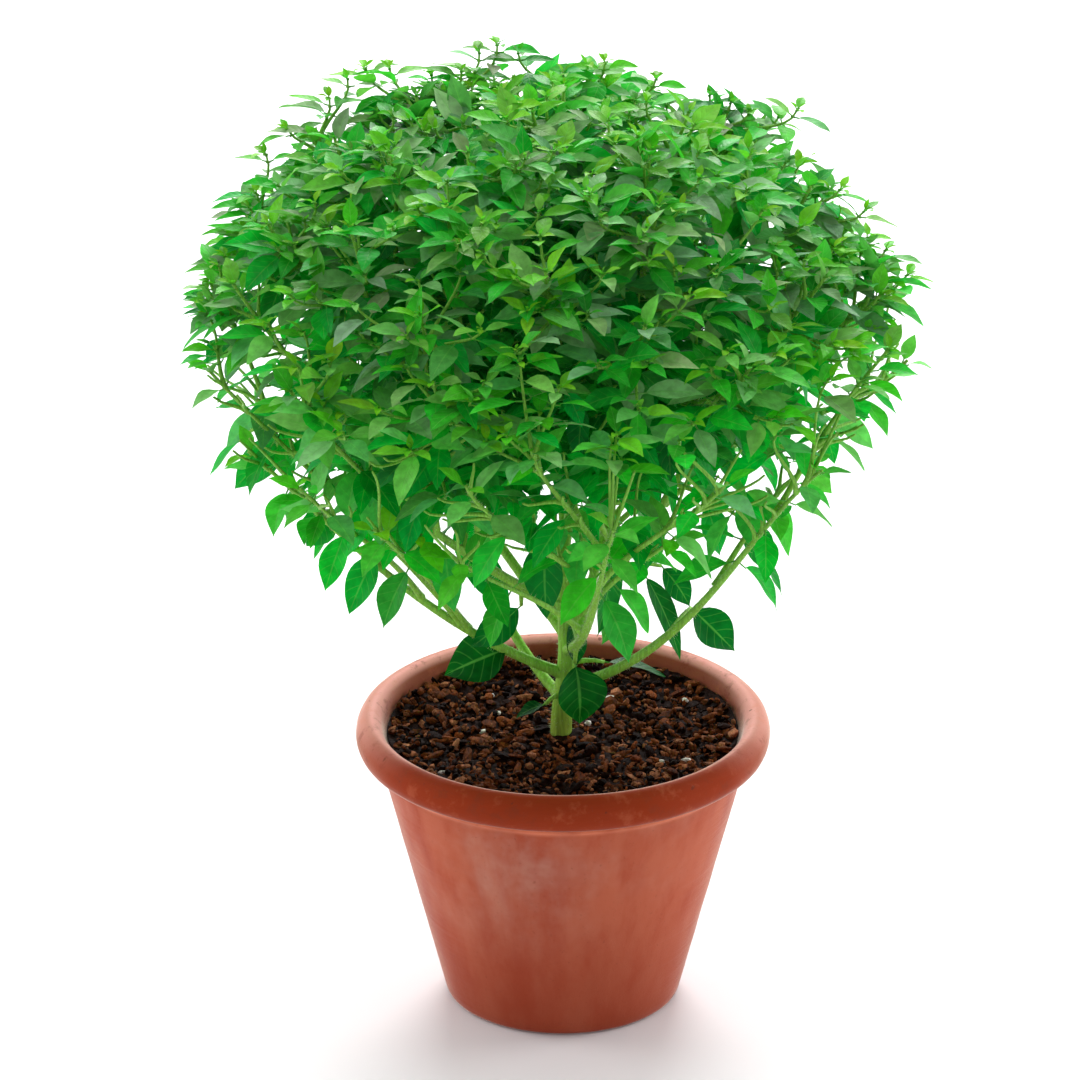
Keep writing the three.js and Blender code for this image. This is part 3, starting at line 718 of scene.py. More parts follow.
# Blades longer than this are made of more faces, apart from those on twigs.
LARGE_LEAF = 17
LEAF_PALETTE = np.array([
    [0.225, 0.600, 0.020],
    [0.055, 0.510, 0.025],
    [0.006, 0.450, 0.042],
    [0.001, 0.420, 0.046],
    [0.001, 0.350, 0.042],
])
# The painted highlight of the lighter leaves: sage, as painted sky sheen, on the top leaves and lime
# lower down.
SAGE_SHEEN = np.array([0.415, 0.505, 0.335])
LIGHTEST = 0.6
LIME = np.array([0.190, 0.540, 0.055])
LIME_HEIGHTS = [170, 225]
# Patches of the crown are younger or older than the rest.
PATCH_SIZE = 24
# How much painted grey sheen, and how much painted light and shade, leaves get at these heights.
SHEEN_HEIGHTS = [160, 215, 265]
SHEEN_SHARES = [0.0, 0.5, 1.0]
PAINTED_LIGHT_HEIGHTS = [130, 160, 200, 265]
PAINTED_LIGHT_BY_HEIGHT = [0.32, 0.8, 1.2, 1.02]
# Leaves under the crown are paler between these heights, as painted light in the crown's shade.
PAINTED_FILL_HEIGHTS = [160, 180, 198, 215]
PAINTED_FILL_SHARES = [0, 0.15, 0.15, 0]
# How much a leaf's age, its depth, chance and its patch move it along the palette.
AGE_SHARE, DEPTH_SHARE, CHANCE_SHARE, PATCH_SHARE = 0.75, 0.8, 0.12, 0.3
LIGHT_WANDER = 0.35
WARM_WANDER = 0.28
PATCH_SHADE = 0.4
OLD_SHADE = 0.72
STEM_YOUNG = np.array([0.22, 0.55, 0.07])
STEM_OLD = np.array([0.34, 0.66, 0.08])
STEM_BASE = np.array([0.33, 0.44, 0.06])
HAIR_COLOUR = np.array([0.62, 0.74, 0.42])
HAIR_LENGTH = 1.0
HAIR_RADIUS = 0.07
HAIRS_PER_AREA = 2.2
# Stems turn earthy in colour below this height, and are fully so this far under it.
EARTHY_BELOW = 118
EARTHY_DEPTH = 22


def blade_outline(share):
    """A leaf's half width along its blade, as a share of its greatest."""
    return share**0.85 * (1 - share) ** 1.2 / 0.2505


def arch(place):
    """How high a blade's midrib stands at a place along it, as a share of its length."""
    return (4.878 * place - 5.878 * place**2) * ARCH


def draw(leaves, channel, rule=jitter):
    """A random number for each leaf."""
    return np.array([rule(leaf.lot, channel) for leaf in leaves])


def leaf_colours(leaves):
    """One colour for each leaf: lime in the buds, dark green where old, with painted sheen, light and
    shade.
    """
    ages = np.array([leaf.age for leaf in leaves])
    places = np.linspace(0, 1, len(LEAF_PALETTE))
    roots = np.array([leaf.root for leaf in leaves])
    sights = roots - CROWN_CENTRE
    reach = norm(sights, axis=1)
    surface = [norm(crown_point(s / r) - CROWN_CENTRE) for s, r in zip(sights, reach)]
    depth = np.clip(1 - reach / surface, 0, 1)
    patch = np.array([noise.noise(Vector(root / PATCH_SIZE)) for root in roots])
    shown = AGE_SHARE * ages + DEPTH_SHARE * depth + CHANCE_SHARE * draw(leaves, 40)
    shown = np.clip(shown + PATCH_SHARE * patch, 0, 1)
    colours = np.stack([np.interp(shown, places, LEAF_PALETTE[:, c]) for c in range(3)], 1)
    # Painted sheen: some leaves turn lime and, higher up, sage, but not deep in the crown or when
    # old.
    sheen_by_height = np.interp(roots[:, 2], SHEEN_HEIGHTS, SHEEN_SHARES) * np.clip(2 * shown, 0, 1)
    grey = np.clip(5 * draw(leaves, 44, chance) - 2.2, 0, 1)
    grey = grey * sheen_by_height * np.clip(1 - 2 * depth, 0, 1) * (ages < OLD_AGE)
    sage = np.interp(roots[:, 2], LIME_HEIGHTS, [0, 1])[:, None]
    colours = lerp(colours, lerp(LIME, SAGE_SHEEN, sage), grey[:, None])
    # Painted light under the crown.
    painted_fill = np.interp(roots[:, 2], PAINTED_FILL_HEIGHTS, PAINTED_FILL_SHARES)[:, None]
    colours = colours * (1 + painted_fill * [1.2, 1, 0])
    light = 1 + LIGHT_WANDER * draw(leaves, 41)
    # Painted light and shade by height: darker low down, lighter under the crown.
    light = light * np.interp(roots[:, 2], PAINTED_LIGHT_HEIGHTS, PAINTED_LIGHT_BY_HEIGHT) * (1 - PATCH_SHADE * patch)
    light = light * np.where(ages < OLD_AGE, 1, OLD_SHADE)
    warm = 1 + WARM_WANDER * draw(leaves, 42) * (1 - 0.65 * grey)
    colours = colours * light[:, None] * np.stack([warm, np.ones_like(warm), 1 / warm], 1)
    return colours * np.minimum(LIGHTEST / colours[:, 1:2], 1)


def blade_mesh(leaves, stations, columns):
    """Vertices, triangles, colours and places on the blade for many leaves of one fineness."""
    count, rows, cols = len(leaves), len(stations) - 2, len(columns)

    def read(key):
        return np.array([getattr(leaf, key) for leaf in leaves])

    def vary(channel):
        return draw(leaves, channel)[:, None, None]

    root, along, face = read("root"), read("towards"), read("face")
    normal = face - along * (face * along).sum(1, keepdims=True)
    normal /= norm(normal, axis=1, keepdims=True)
    across = np.cross(normal, along)
    length, width, petiole = (read(key)[:, None, None] for key in ("length", "width", "petiole"))
    s = stations[None, 1:-1, None]
    v = columns[None, None, :]
    place = petiole + (1 - petiole) * s
    half = 0.5 * width * blade_outline(s)
    rib = arch(place) * length * (1 + 0.5 * vary(50))
    fold = BLADE_FOLD * width * (1 + 0.5 * vary(51)) * np.abs(v) ** 1.4 * blade_outline(s)
    wave = 0.035 * width * np.abs(v) ** 2 * np.sin(9 * s + 6 * vary(52) + v)
    lean = 0.06 * length * vary(53) * (place**2 - place)
    twist = 0.35 * vary(54) * s
    x = place * length
    y = v * half
    z = rib + fold + wave + twist * y
    y = y + lean

    def spot(x, y, z):
        return (
            root[:, None, None] + x[..., None] * along[:, None, None]
            + y[..., None] * across[:, None, None] + z[..., None] * normal[:, None, None]
        )

    inner = spot(np.broadcast_to(x, z.shape), y, z).reshape(count, -1, 3)
    start_y = 0.06 * length * vary(53) * (petiole**2 - petiole)
    start = spot(petiole * length, start_y, arch(petiole) * length)
    end = spot(length, 0 * length, -ARCH * length * (1 + 0.5 * vary(50)))
    turns = 2 * np.pi * np.arange(3) / 3
    ring = [PETIOLE_RADIUS * np.cos(turns), PETIOLE_RADIUS * np.sin(turns)]
    circle = ring[0][None, :, None] * across[:, None] + ring[1][None, :, None] * normal[:, None]
    foot = root[:, None] - along[:, None] * 0.8 + circle
    knee = start.reshape(count, 1, 3) + along[:, None] * 0.4 + 0.8 * circle - normal[:, None] * 0.1
    points = np.concatenate(
        [start.reshape(count, 1, 3), inner, end.reshape(count, 1, 3), foot, knee], 1
    )
    last = 1 + rows * cols
    triangles = []
    for c in range(cols - 1):
        triangles.append((0, 1 + c, 2 + c))
        triangles.append((last, last - cols + c + 1, last - cols + c))
        for r in range(rows - 1):
            a = 1 + r * cols + c
            triangles += [(a, a + cols, a + cols + 1), (a, a + cols + 1, a + 1)]
    for k in range(3):
        a, b = last + 1 + k, last + 1 + (k + 1) % 3
        triangles += [(a, b, b + 3), (a, b + 3, a + 3)]
    triangles = np.array(triangles)
    size = points.shape[1]
    faces = (triangles[None] + size * np.arange(count)[:, None, None]).reshape(-1, 3)
    colour = np.repeat(leaf_colours(leaves)[:, None], size, 1)
    colour[:, last + 1:] = STEM_YOUNG * 0.5 + 0.5 * colour[:, last + 1:]
    marks = np.zeros((count, size, 3))
    marks[:, 1:last, 0] = np.repeat(stations[1:-1], cols)
    marks[:, last, 0] = 1
    marks[:, 1:last, 1] = np.tile(columns, rows)
    return points.reshape(-1, 3), faces, colour.reshape(-1, 3), marks.reshape(-1, 3)


def inside_box(leaves):
    """The leaves, with those that reach past the CAD model's box made shorter or left out."""
    low = np.array(cad_box[0]) / MM + BOX_MARGIN
    high = np.array(cad_box[1]) / MM - BOX_MARGIN
    kept = []
    for leaf in leaves:
        for scale in (1, 0.85, 0.7, 0.5):
            small = leaf._replace(length=leaf.length * scale, width=leaf.width * scale)
            points = blade_mesh([small], BLADE_STATIONS, BLADE_COLUMNS)[0]
            if (points > low).all() and (points < high).all():
                kept.append(small)
                break
    return kept


def merge(parts):
    """Several (vertices, triangles, colours) as one, with what else all of them have."""
    points, triangles, *rest = zip(*parts)
    offsets = np.cumsum([0] + [len(each) for each in points])
    triangles = [each + offset for each, offset in zip(triangles, offsets)]
    return [np.concatenate(each) for each in (points, triangles, *rest)]


def tube_mesh(tube):
    """A tube that thins along its curve, with a closed end and a slightly wider foot."""
    length, sides = tube.curve.length, tube.sides
    shares = np.linspace(0, 1, max(3, int(length / 3)) + 1)
    radii = np.interp(shares, [0, 1], tube.radii) * (1 + 0.45 * np.exp(-shares * length / 3))
    rings = sections_along(tube.curve, shares, radii, sides, tube.guide)
    points = np.concatenate([rings.reshape(-1, 3), rings[-1].mean(0)[None]])
    end = len(points) - 1
    triangles = []
    for a in range(end - sides):
        b = a + 1 if (a + 1) % sides else a + 1 - sides
        triangles += [(a, b, b + sides), (a, b + sides, a + sides)]
    triangles += [(end - sides + k, end - sides + (k + 1) % sides, end) for k in range(sides)]
    age = tube.age * (1 - 0.5 * np.append(np.repeat(shares, sides), 1))
    colour = lerp(STEM_YOUNG, STEM_OLD, age[:, None])
    earthy = np.clip((EARTHY_BELOW - points[:, 2]) / EARTHY_DEPTH, 0, 1)[:, None] ** 1.5
    return points, np.array(triangles), lerp(colour, STEM_BASE, 0.8 * earthy)


def stem_hairs(tube, lot):
    """Short fine hairs that stand on a stem."""
    count = int(tube.curve.length * tube.radii[0] * HAIRS_PER_AREA)
    shares, turns, sizes = (
        np.array([chance(n, channel) for n in range(lot, lot + count)]) for channel in (60, 61, 62)
    )
    along = tube.curve.tangent(shares)
    first = tube.guide - along * (along @ tube.guide)[:, None]
    first /= norm(first, axis=1, keepdims=True)
    second = np.cross(along, first)
    turns = 2 * pi * turns[:, None]
    out = first * np.cos(turns) + second * np.sin(turns)
    aside = np.cross(along, out)
    radii = np.interp(shares, [0, 1], tube.radii)[:, None]
    foot = tube.curve.point(shares) + out * (radii * 0.97)
    lengths = HAIR_LENGTH * (0.6 + 0.8 * sizes[:, None])
    tips = foot + out * lengths + along * 0.3 * jitter(lot, 63)
    ring = [foot + HAIR_RADIUS * (cos(a) * along + sin(a) * aside) for a in (0, 2.1, 4.2)]
    points = np.stack(ring + [tips], 1).reshape(-1, 3)
    sides = np.array([(0, 1, 3), (1, 2, 3), (2, 0, 3), (0, 2, 1)])
    faces = (sides[None] + 4 * np.arange(count)[:, None, None]).reshape(-1, 3)
    return points, faces, np.tile(HAIR_COLOUR, (len(points), 1))


def put(name, data):
    """A new object in the scene."""
    thing = bpy.data.objects.new(name, data)
    bpy.context.scene.collection.objects.link(thing)
    return thing


def make_piece(name, parts, material, node, smooth=True):
    """A mesh object from merged parts, with its colours, and marks if any, as attributes."""
    points, triangles, colours, *marks = merge(parts)
    mesh = bpy.data.meshes.new(name)
    mesh.from_pydata(points * MM, [], triangles)
    tint = mesh.attributes.new("tint", "FLOAT_COLOR", "POINT")
    rgba = np.concatenate([np.clip(colours, 0, 1), np.ones((len(colours), 1))], 1)
    tint.data.foreach_set("color", rgba.astype(np.float32).ravel())
    for mark in marks:
        spot = mesh.attributes.new("spot", "FLOAT_VECTOR", "POINT")
        spot.data.foreach_set("vector", mark.astype(np.float32).ravel())
    if smooth:
        mesh.shade_smooth()
    mesh.materials.append(material)
    piece = put(name, mesh)
    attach(piece, "root")
    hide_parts(node)


# Pot

POT_HEIGHT = 101.5
RIM_RADIUS = 70
RIM_HALF_HEIGHT = 6.4
RIM_HALF_WIDTH = 4.7
NECK_RADIUS = 62.2
BASE_RADIUS = 39.2
WALL = 5
FLOOR = 8
DRAIN_RADIUS = 6
NECK_Z = 87.6
FLARE_Z = 84
FLARE = 0.08
POT_TURNS = 180
# The clay is slightly uneven, apart from the drain hole, and a little inside the CAD pot.
LUMP_SIZE = 9
EVEN_WITHIN = 20
SHRUNK = 0.25


def outer(z):
    """The pot's outside radius from its foot to the neck under the rim."""
    return rescale(z, 0, NECK_Z, BASE_RADIUS, NECK_RADIUS)


def inner(z):
    """The pot's inside radius, which widens faster behind the rim."""
    return outer(z) - WALL + FLARE * max(0, z - FLARE_Z)


def pot_profile():
    """The pot's section from the drain hole out, up and over the rolled rim to the inside."""
    rim_radius = RIM_RADIUS - RIM_HALF_WIDTH
    rim_z = POT_HEIGHT - RIM_HALF_HEIGHT
    foot = [(DRAIN_RADIUS, 0.4), (DRAIN_RADIUS + 0.5, 0), (outer(0) - 2.2, 0)]
    foot += [(outer(0) - 1.2, 0.25), (outer(1) - 0.35, 1.1), (outer(2.4), 2.4)]
    wall = [(outer(z), z) for z in np.linspace(4.5, NECK_Z - 3.2, 26)]
    bead = [
        (NECK_RADIUS - 0.65, NECK_Z - 2.4), (NECK_RADIUS - 0.1, NECK_Z - 1.9),
        (NECK_RADIUS + 0.15, NECK_Z - 1.3), (NECK_RADIUS + 0.05, NECK_Z - 0.7),
        (NECK_RADIUS - 0.35, NECK_Z - 0.2), (NECK_RADIUS + 0.3, NECK_Z + 0.25),
    ]
    turns = np.radians(np.linspace(-98, 168, 24))
    rim = [
        (rim_radius + RIM_HALF_WIDTH * cos(a), rim_z + RIM_HALF_HEIGHT * sin(a))
        for a in turns
    ]
    inside = [(inner(z) + 0.25, z) for z in (94, 91.5, 89, 86.5, 84, 70, 50, 30, FLOOR + 3)]
    inside += [(outer(FLOOR) - WALL - 4, FLOOR), (DRAIN_RADIUS, FLOOR)]
    return np.array(foot + wall + bead + rim + inside)


def pot_parts():
    """The pot as its section turned about the axis."""
    profile = pot_profile()
    count = len(profile)
    points = []
    for i in range(POT_TURNS):
        turn = 2 * pi * i / POT_TURNS
        wobble = 0.12 * sin(2 * turn + 0.6) + 0.08 * sin(3 * turn + 2)
        for radius, z in profile:
            place = Vector((radius * cos(turn), radius * sin(turn), z))
            lump = 0.10 * noise.noise(place / LUMP_SIZE)
            reach = radius + (wobble * z / POT_HEIGHT + lump) * (radius > EVEN_WITHIN) - SHRUNK
            points.append((reach * cos(turn), reach * sin(turn), z))
    triangles = []
    for i in range(POT_TURNS):
        a, b = i * count, (i + 1) % POT_TURNS * count
        for j in range(count):
            k = (j + 1) % count
            triangles += [(a + j, b + j, b + k), (a + j, b + k, a + k)]
    return [(np.array(points), np.array(triangles), np.full((len(points), 3), 0.5))]


# Potting mix

SOIL_TURNS = 200
SOIL_RINGS = 64
SCATTER_RADIUS = 58.2
STEM_FOOT = (-0.4, 3)
STEM_CLEARANCE = 5.5
BARK_COLOURS = np.array([
    [0.095, 0.022, 0.005],
    [0.175, 0.045, 0.011],
    [0.007, 0.002, 0.001],
    [0.300, 0.110, 0.050],
    [0.012, 0.003, 0.001],
    [0.120, 0.031, 0.008],
])
GRAIN_COLOUR = np.array([1.0, 0.92, 0.86])
# Each kind's number, first counter, fineness, sizes, sink, colours and roughness.
CRUMBS = 2500, 0, 1, [(0.6, 2.0), (0.5, 1.6), (0.4, 1.3)], -0.2, BARK_COLOURS, 0.3
FLAKES = 330, 4000, 2, [(1.4, 4.6), (1.0, 2.4), (0.5, 1.4)], 0.1, BARK_COLOURS, 0.2
GRAINS = 11, 8000, 2, [(1.0, 2.1), (0.9, 1.6), (0.7, 1.2)], 0.5, [GRAIN_COLOUR], 0.15


def soil_wave(x, y):
    dish = SOIL_DISH * (hypot(x, y) / SOIL_EDGE) ** 3
    return dish + 0.5 * SOIL_RELIEF * sin(0.17 * x + 1.1) * cos(0.15 * y - 0.6)


def soil_top(x, y):
    """How high the fine top of the mix stands."""
    lump = noise.noise(Vector((x / 5, y / 5, 1.7))) + 0.6 * noise.noise(Vector((x / 2, y / 2, 5.1)))
    return SOIL_LEVEL + soil_wave(x, y) + 0.9 * lump


def mix_radius(z):
    return inner(z) - 2 * GAP


def bed_parts():
    """The potting mix as one closed lump that fills the pot, with a rough top."""
    rings = [(0, FLOOR + GAP), (mix_radius(FLOOR) - 4.5, FLOOR + GAP)]
    rings += [(mix_radius(z), z) for z in (FLOOR + 4, 40, 70, FLARE_Z, SOIL_LEVEL - 1.8)]
    rings += [(radius, None) for radius in np.linspace(SOIL_EDGE, 0, SOIL_RINGS)]
    points, triangles = [], []
    for radius, z in rings:
        for i in range(SOIL_TURNS):
            turn = 2 * pi * i / SOIL_TURNS
            x, y = radius * cos(turn), radius * sin(turn)
            points.append((x, y, soil_top(x, y) if z is None else z))
    for r in range(len(rings) - 1):
        for i in range(SOIL_TURNS):
            a, b = r * SOIL_TURNS + i, r * SOIL_TURNS + (i + 1) % SOIL_TURNS
            if rings[r][0] > 0:
                triangles.append((a, b, b + SOIL_TURNS))
            if rings[r + 1][0] > 0:
                triangles.append((a, b + SOIL_TURNS, a + SOIL_TURNS))
    return [(np.array(points), np.array(triangles), np.tile(BARK_COLOURS[4], (len(points), 1)))]


def lump_shape(fineness):
    """The corners and triangles of a round lump."""
    shape = bmesh.new()
    bmesh.ops.create_icosphere(shape, subdivisions=fineness, radius=1)
    points = np.array([v.co[:] for v in shape.verts])
    triangles = np.array([[v.index for v in f.verts] for f in shape.faces])
    shape.free()
    return points, triangles


def turned(angle, i, j):
    """The matrix that turns by an angle from axis i towards axis j."""
    matrix = np.eye(3)
    matrix[[i, j, i, j], [i, j, j, i]] = cos(angle), cos(angle), -sin(angle), sin(angle)
    return matrix


def scatter(count, lot, fineness, sizes, sink, colours, rough):
    """Lumps of many sizes and turns, lying in the top of the mix."""
    base, triangles = lump_shape(fineness)
    parts = []
    for i in range(count):
        n = lot + i
        radius = SCATTER_RADIUS * sqrt(chance(n, 60))
        turn = 2 * pi * chance(n, 61)
        x, y = radius * cos(turn), radius * sin(turn)
        if hypot(x - STEM_FOOT[0], y - STEM_FOOT[1]) < STEM_CLEARANCE:
            continue
        size = np.array([lerp(*sizes[k], chance(n, 62 + k) ** 1.6) for k in range(3)])
        bumps = np.array([jitter(n * 7 + k, 66) for k in range(len(base))])[:, None]
        spin = turned(6.3 * chance(n, 67), 0, 1)
        tilt = turned(0.5 * jitter(n, 68), 1, 2) @ turned(0.5 * jitter(n, 69), 2, 0)
        shape = (base * (1 + rough * bumps) * size) @ (spin @ tilt).T
        z = soil_top(x, y) + size[2] * lerp(sink, 1.1, chance(n, 70))
        colour = colours[int(chance(n, 71) * len(colours))] * (1 + 0.35 * jitter(n, 72))
        parts.append((shape + [x, y, z], triangles, np.tile(colour, (len(base), 1))))
    return parts


# Materials

SIDE_VEINS = 6
VEIN_COLOUR = (0.24, 0.62, 0.14)
UNDERSIDE = (0.16, 0.46, 0.11)
LEAF_GLOSS = (0.6, 1, 0.7)
LIGHT_THROUGH = (0.62, 1.16, 0.45)
REDDISH = (0.30, 0.13, 0.05)
CLAY = (0.41, 0.059, 0.022), (0.52, 0.124, 0.064)
CLAY_FOOT = (0.28, 0.040, 0.013)
CLAY_CHALK = (0.58, 0.30, 0.23)
FOLD_HIGHLIGHT = (0.80, 0.24, 0.13)
CLAY_SPECK = (0.20, 0.045, 0.025)
RIM_SIDE_BLOOM_AND_LIGHT = (0.44, 0.125, 0.070), (0.58, 0.23, 0.175)
RIM_BACK = (0.42, 0.125, 0.080)
RIM_FRONT_SHADE_AND_LIP_HIGHLIGHT = (0.30, 0.030, 0.003), (0.62, 0.25, 0.17)
RIM_INSIDE_PAINTED_LIGHT = (0.80, 0.34, 0.30)
RIM_INSIDE_PAINTED_SHADE = (0.32, 0.075, 0.038)
RIM_BACK_WALL_PAINTED_SHADE = (0.30, 0.070, 0.035)
RIM_SPOT = (0.12, 0.025, 0.012)
RIM_WORN_DARK = (0.21, 0.032, 0.010)
RIM_WORN_PALE = (0.64, 0.17, 0.08)
CLAY_SHEEN = (1, 0.8, 0.72)
FLOOR_COLOURS = (0.81, 0.81, 0.82), (0.83, 0.83, 0.84)
FLOOR_LIGHT = (0.78, 0.88, 1)
FLOOR_GLOW = 0.03


class Shader:
    """Adds nodes to a new material, with numbers, colours or other nodes' outputs as inputs."""

    def __init__(self, name):
        self.material = bpy.data.materials.new(name)
        self.material.use_nodes = True
        self.tree = self.material.node_tree
        self.tree.nodes.clear()
        self.place = self.add("TexCoord", output=3)

    def add(self, kind, inputs=None, output=0, **settings):
        node = self.tree.nodes.new("ShaderNode" + kind)
        for key, value in settings.items():
            setattr(node, key, value)
        for name, value in (inputs or {}).items():
            socket = node.inputs[name]
            if isinstance(value, bpy.types.NodeSocket):
                self.tree.links.new(value, socket)
            else:
                socket.default_value = (*value, 1) if socket.type == "RGBA" else value
        return node.outputs[output]

    def math(self, operation, a, b=0):
        return self.add("Math", {0: a, 1: b}, operation=operation)

    def plus(self, a, b):
        return self.math("ADD", a, b)

    def minus(self, a, b):
        return self.math("SUBTRACT", a, b)

    def times(self, a, b):
        return self.math("MULTIPLY", a, b)

    def split(self, vector):
        return self.add("SeparateXYZ", {0: vector}).node.outputs

    def attribute(self, name, output):
        return self.add("Attribute", attribute_name=name, output=output)

    def smooth(self, value, low, high, to_low=0, to_high=1):
        """Goes smoothly from one number to another as value goes from low to high."""
        inputs = {0: value, 1: low, 2: high, 3: to_low, 4: to_high}
        return self.add("MapRange", inputs, interpolation_type="SMOOTHSTEP")

    def mix(self, share, a, b, blend="MIX"):
        return self.add("Mix", {0: share, 6: a, 7: b}, output=2, data_type="RGBA", blend_type=blend)

    def scaled(self, colour, shade):
        """A colour made lighter or darker by a number."""
        grey = self.add("CombineColor", {0: shade, 1: shade, 2: shade})
        return self.mix(1, colour, grey, "MULTIPLY")

    def noise(self, scale, detail, roughness=0.55, stretch=None, shift=(0, 0, 0)):
        place = self.place
        if stretch:
            place = self.add("Mapping", {"Vector": place, "Scale": stretch, "Location": shift})
        inputs = {"Vector": place, "Scale": scale, "Detail": detail, "Roughness": roughness}
        return self.add("TexNoise", inputs)

    def bump(self, height, strength, distance):
        return self.add("Bump", {"Height": height, "Strength": strength, "Distance": distance})

    def skin(self, colour, roughness, gloss, **more):
        inputs = {"Base Color": colour, "Roughness": roughness, "Specular IOR Level": gloss}
        inputs.update((key.replace("_", " "), value) for key, value in more.items())
        return self.add("BsdfPrincipled", inputs)

    def finish(self, surface, glow=None, share=0):
        """Ends in the surface, or in its mix with light that comes through."""
        if glow:
            surface = self.add("MixShader", {0: share, 1: surface, 2: glow})
        output = self.tree.nodes.new("ShaderNodeOutputMaterial")
        self.tree.links.new(surface, output.inputs["Surface"])
        return self.material


def leaf_material():
    s = Shader("leaf")
    tint = s.attribute("tint", 0)
    along, across, _ = s.split(s.attribute("spot", 1))
    width = s.math("ABSOLUTE", across)
    phase = s.minus(s.times(along, SIDE_VEINS), s.times(width, 1.3))
    sway = s.math("ABSOLUTE", s.minus(s.times(s.math("FRACT", phase), 2), 1))
    side = s.smooth(sway, 0.8, 1)
    rib = s.smooth(width, 0.09, 0.02)
    veins = s.math("MAXIMUM", rib, s.times(side, 0.5))
    blotch = s.noise(260, 3)
    fine = s.noise(2600, 2)
    colour = s.mix(s.times(veins, 0.6), tint, s.mix(0.55, tint, VEIN_COLOUR))
    colour = s.scaled(colour, s.smooth(blotch, 0.3, 0.7, 0.82, 1.18))
    behind = s.add("NewGeometry", output=6)
    colour = s.mix(behind, colour, s.mix(0.35, colour, UNDERSIDE))
    pucker = s.minus(s.times(s.minus(1, sway), 0.5), veins)
    normal = s.bump(s.plus(pucker, s.times(fine, 0.35)), 0.4, 0.0002)
    skin = s.skin(
        colour, s.smooth(blotch, 0.3, 0.7, 0.36, 0.5), 0.2, Normal=normal,
        Specular_Tint=LEAF_GLOSS, Sheen_Weight=0.05, Sheen_Roughness=0.4, Sheen_Tint=LEAF_GLOSS,
    )
    through = s.mix(1, colour, LIGHT_THROUGH, "MULTIPLY")
    return s.finish(skin, s.add("BsdfTranslucent", {"Color": through, "Normal": normal}), 0.42)


def stem_material():
    s = Shader("stem")
    streak = s.noise(1400, 3, stretch=(1, 1, 0.12))
    blotch = s.noise(120, 3)
    colour = s.scaled(s.attribute("tint", 0), s.smooth(streak, 0.3, 0.7, 0.78, 1.2))
    colour = s.mix(s.smooth(blotch, 0.55, 0.75), colour, s.mix(0.16, colour, REDDISH))
    skin = s.skin(colour, 0.5, 0.25, Normal=s.bump(streak, 0.35, 0.0003))
    return s.finish(skin, s.add("BsdfTranslucent", {"Color": colour}), 0.15)


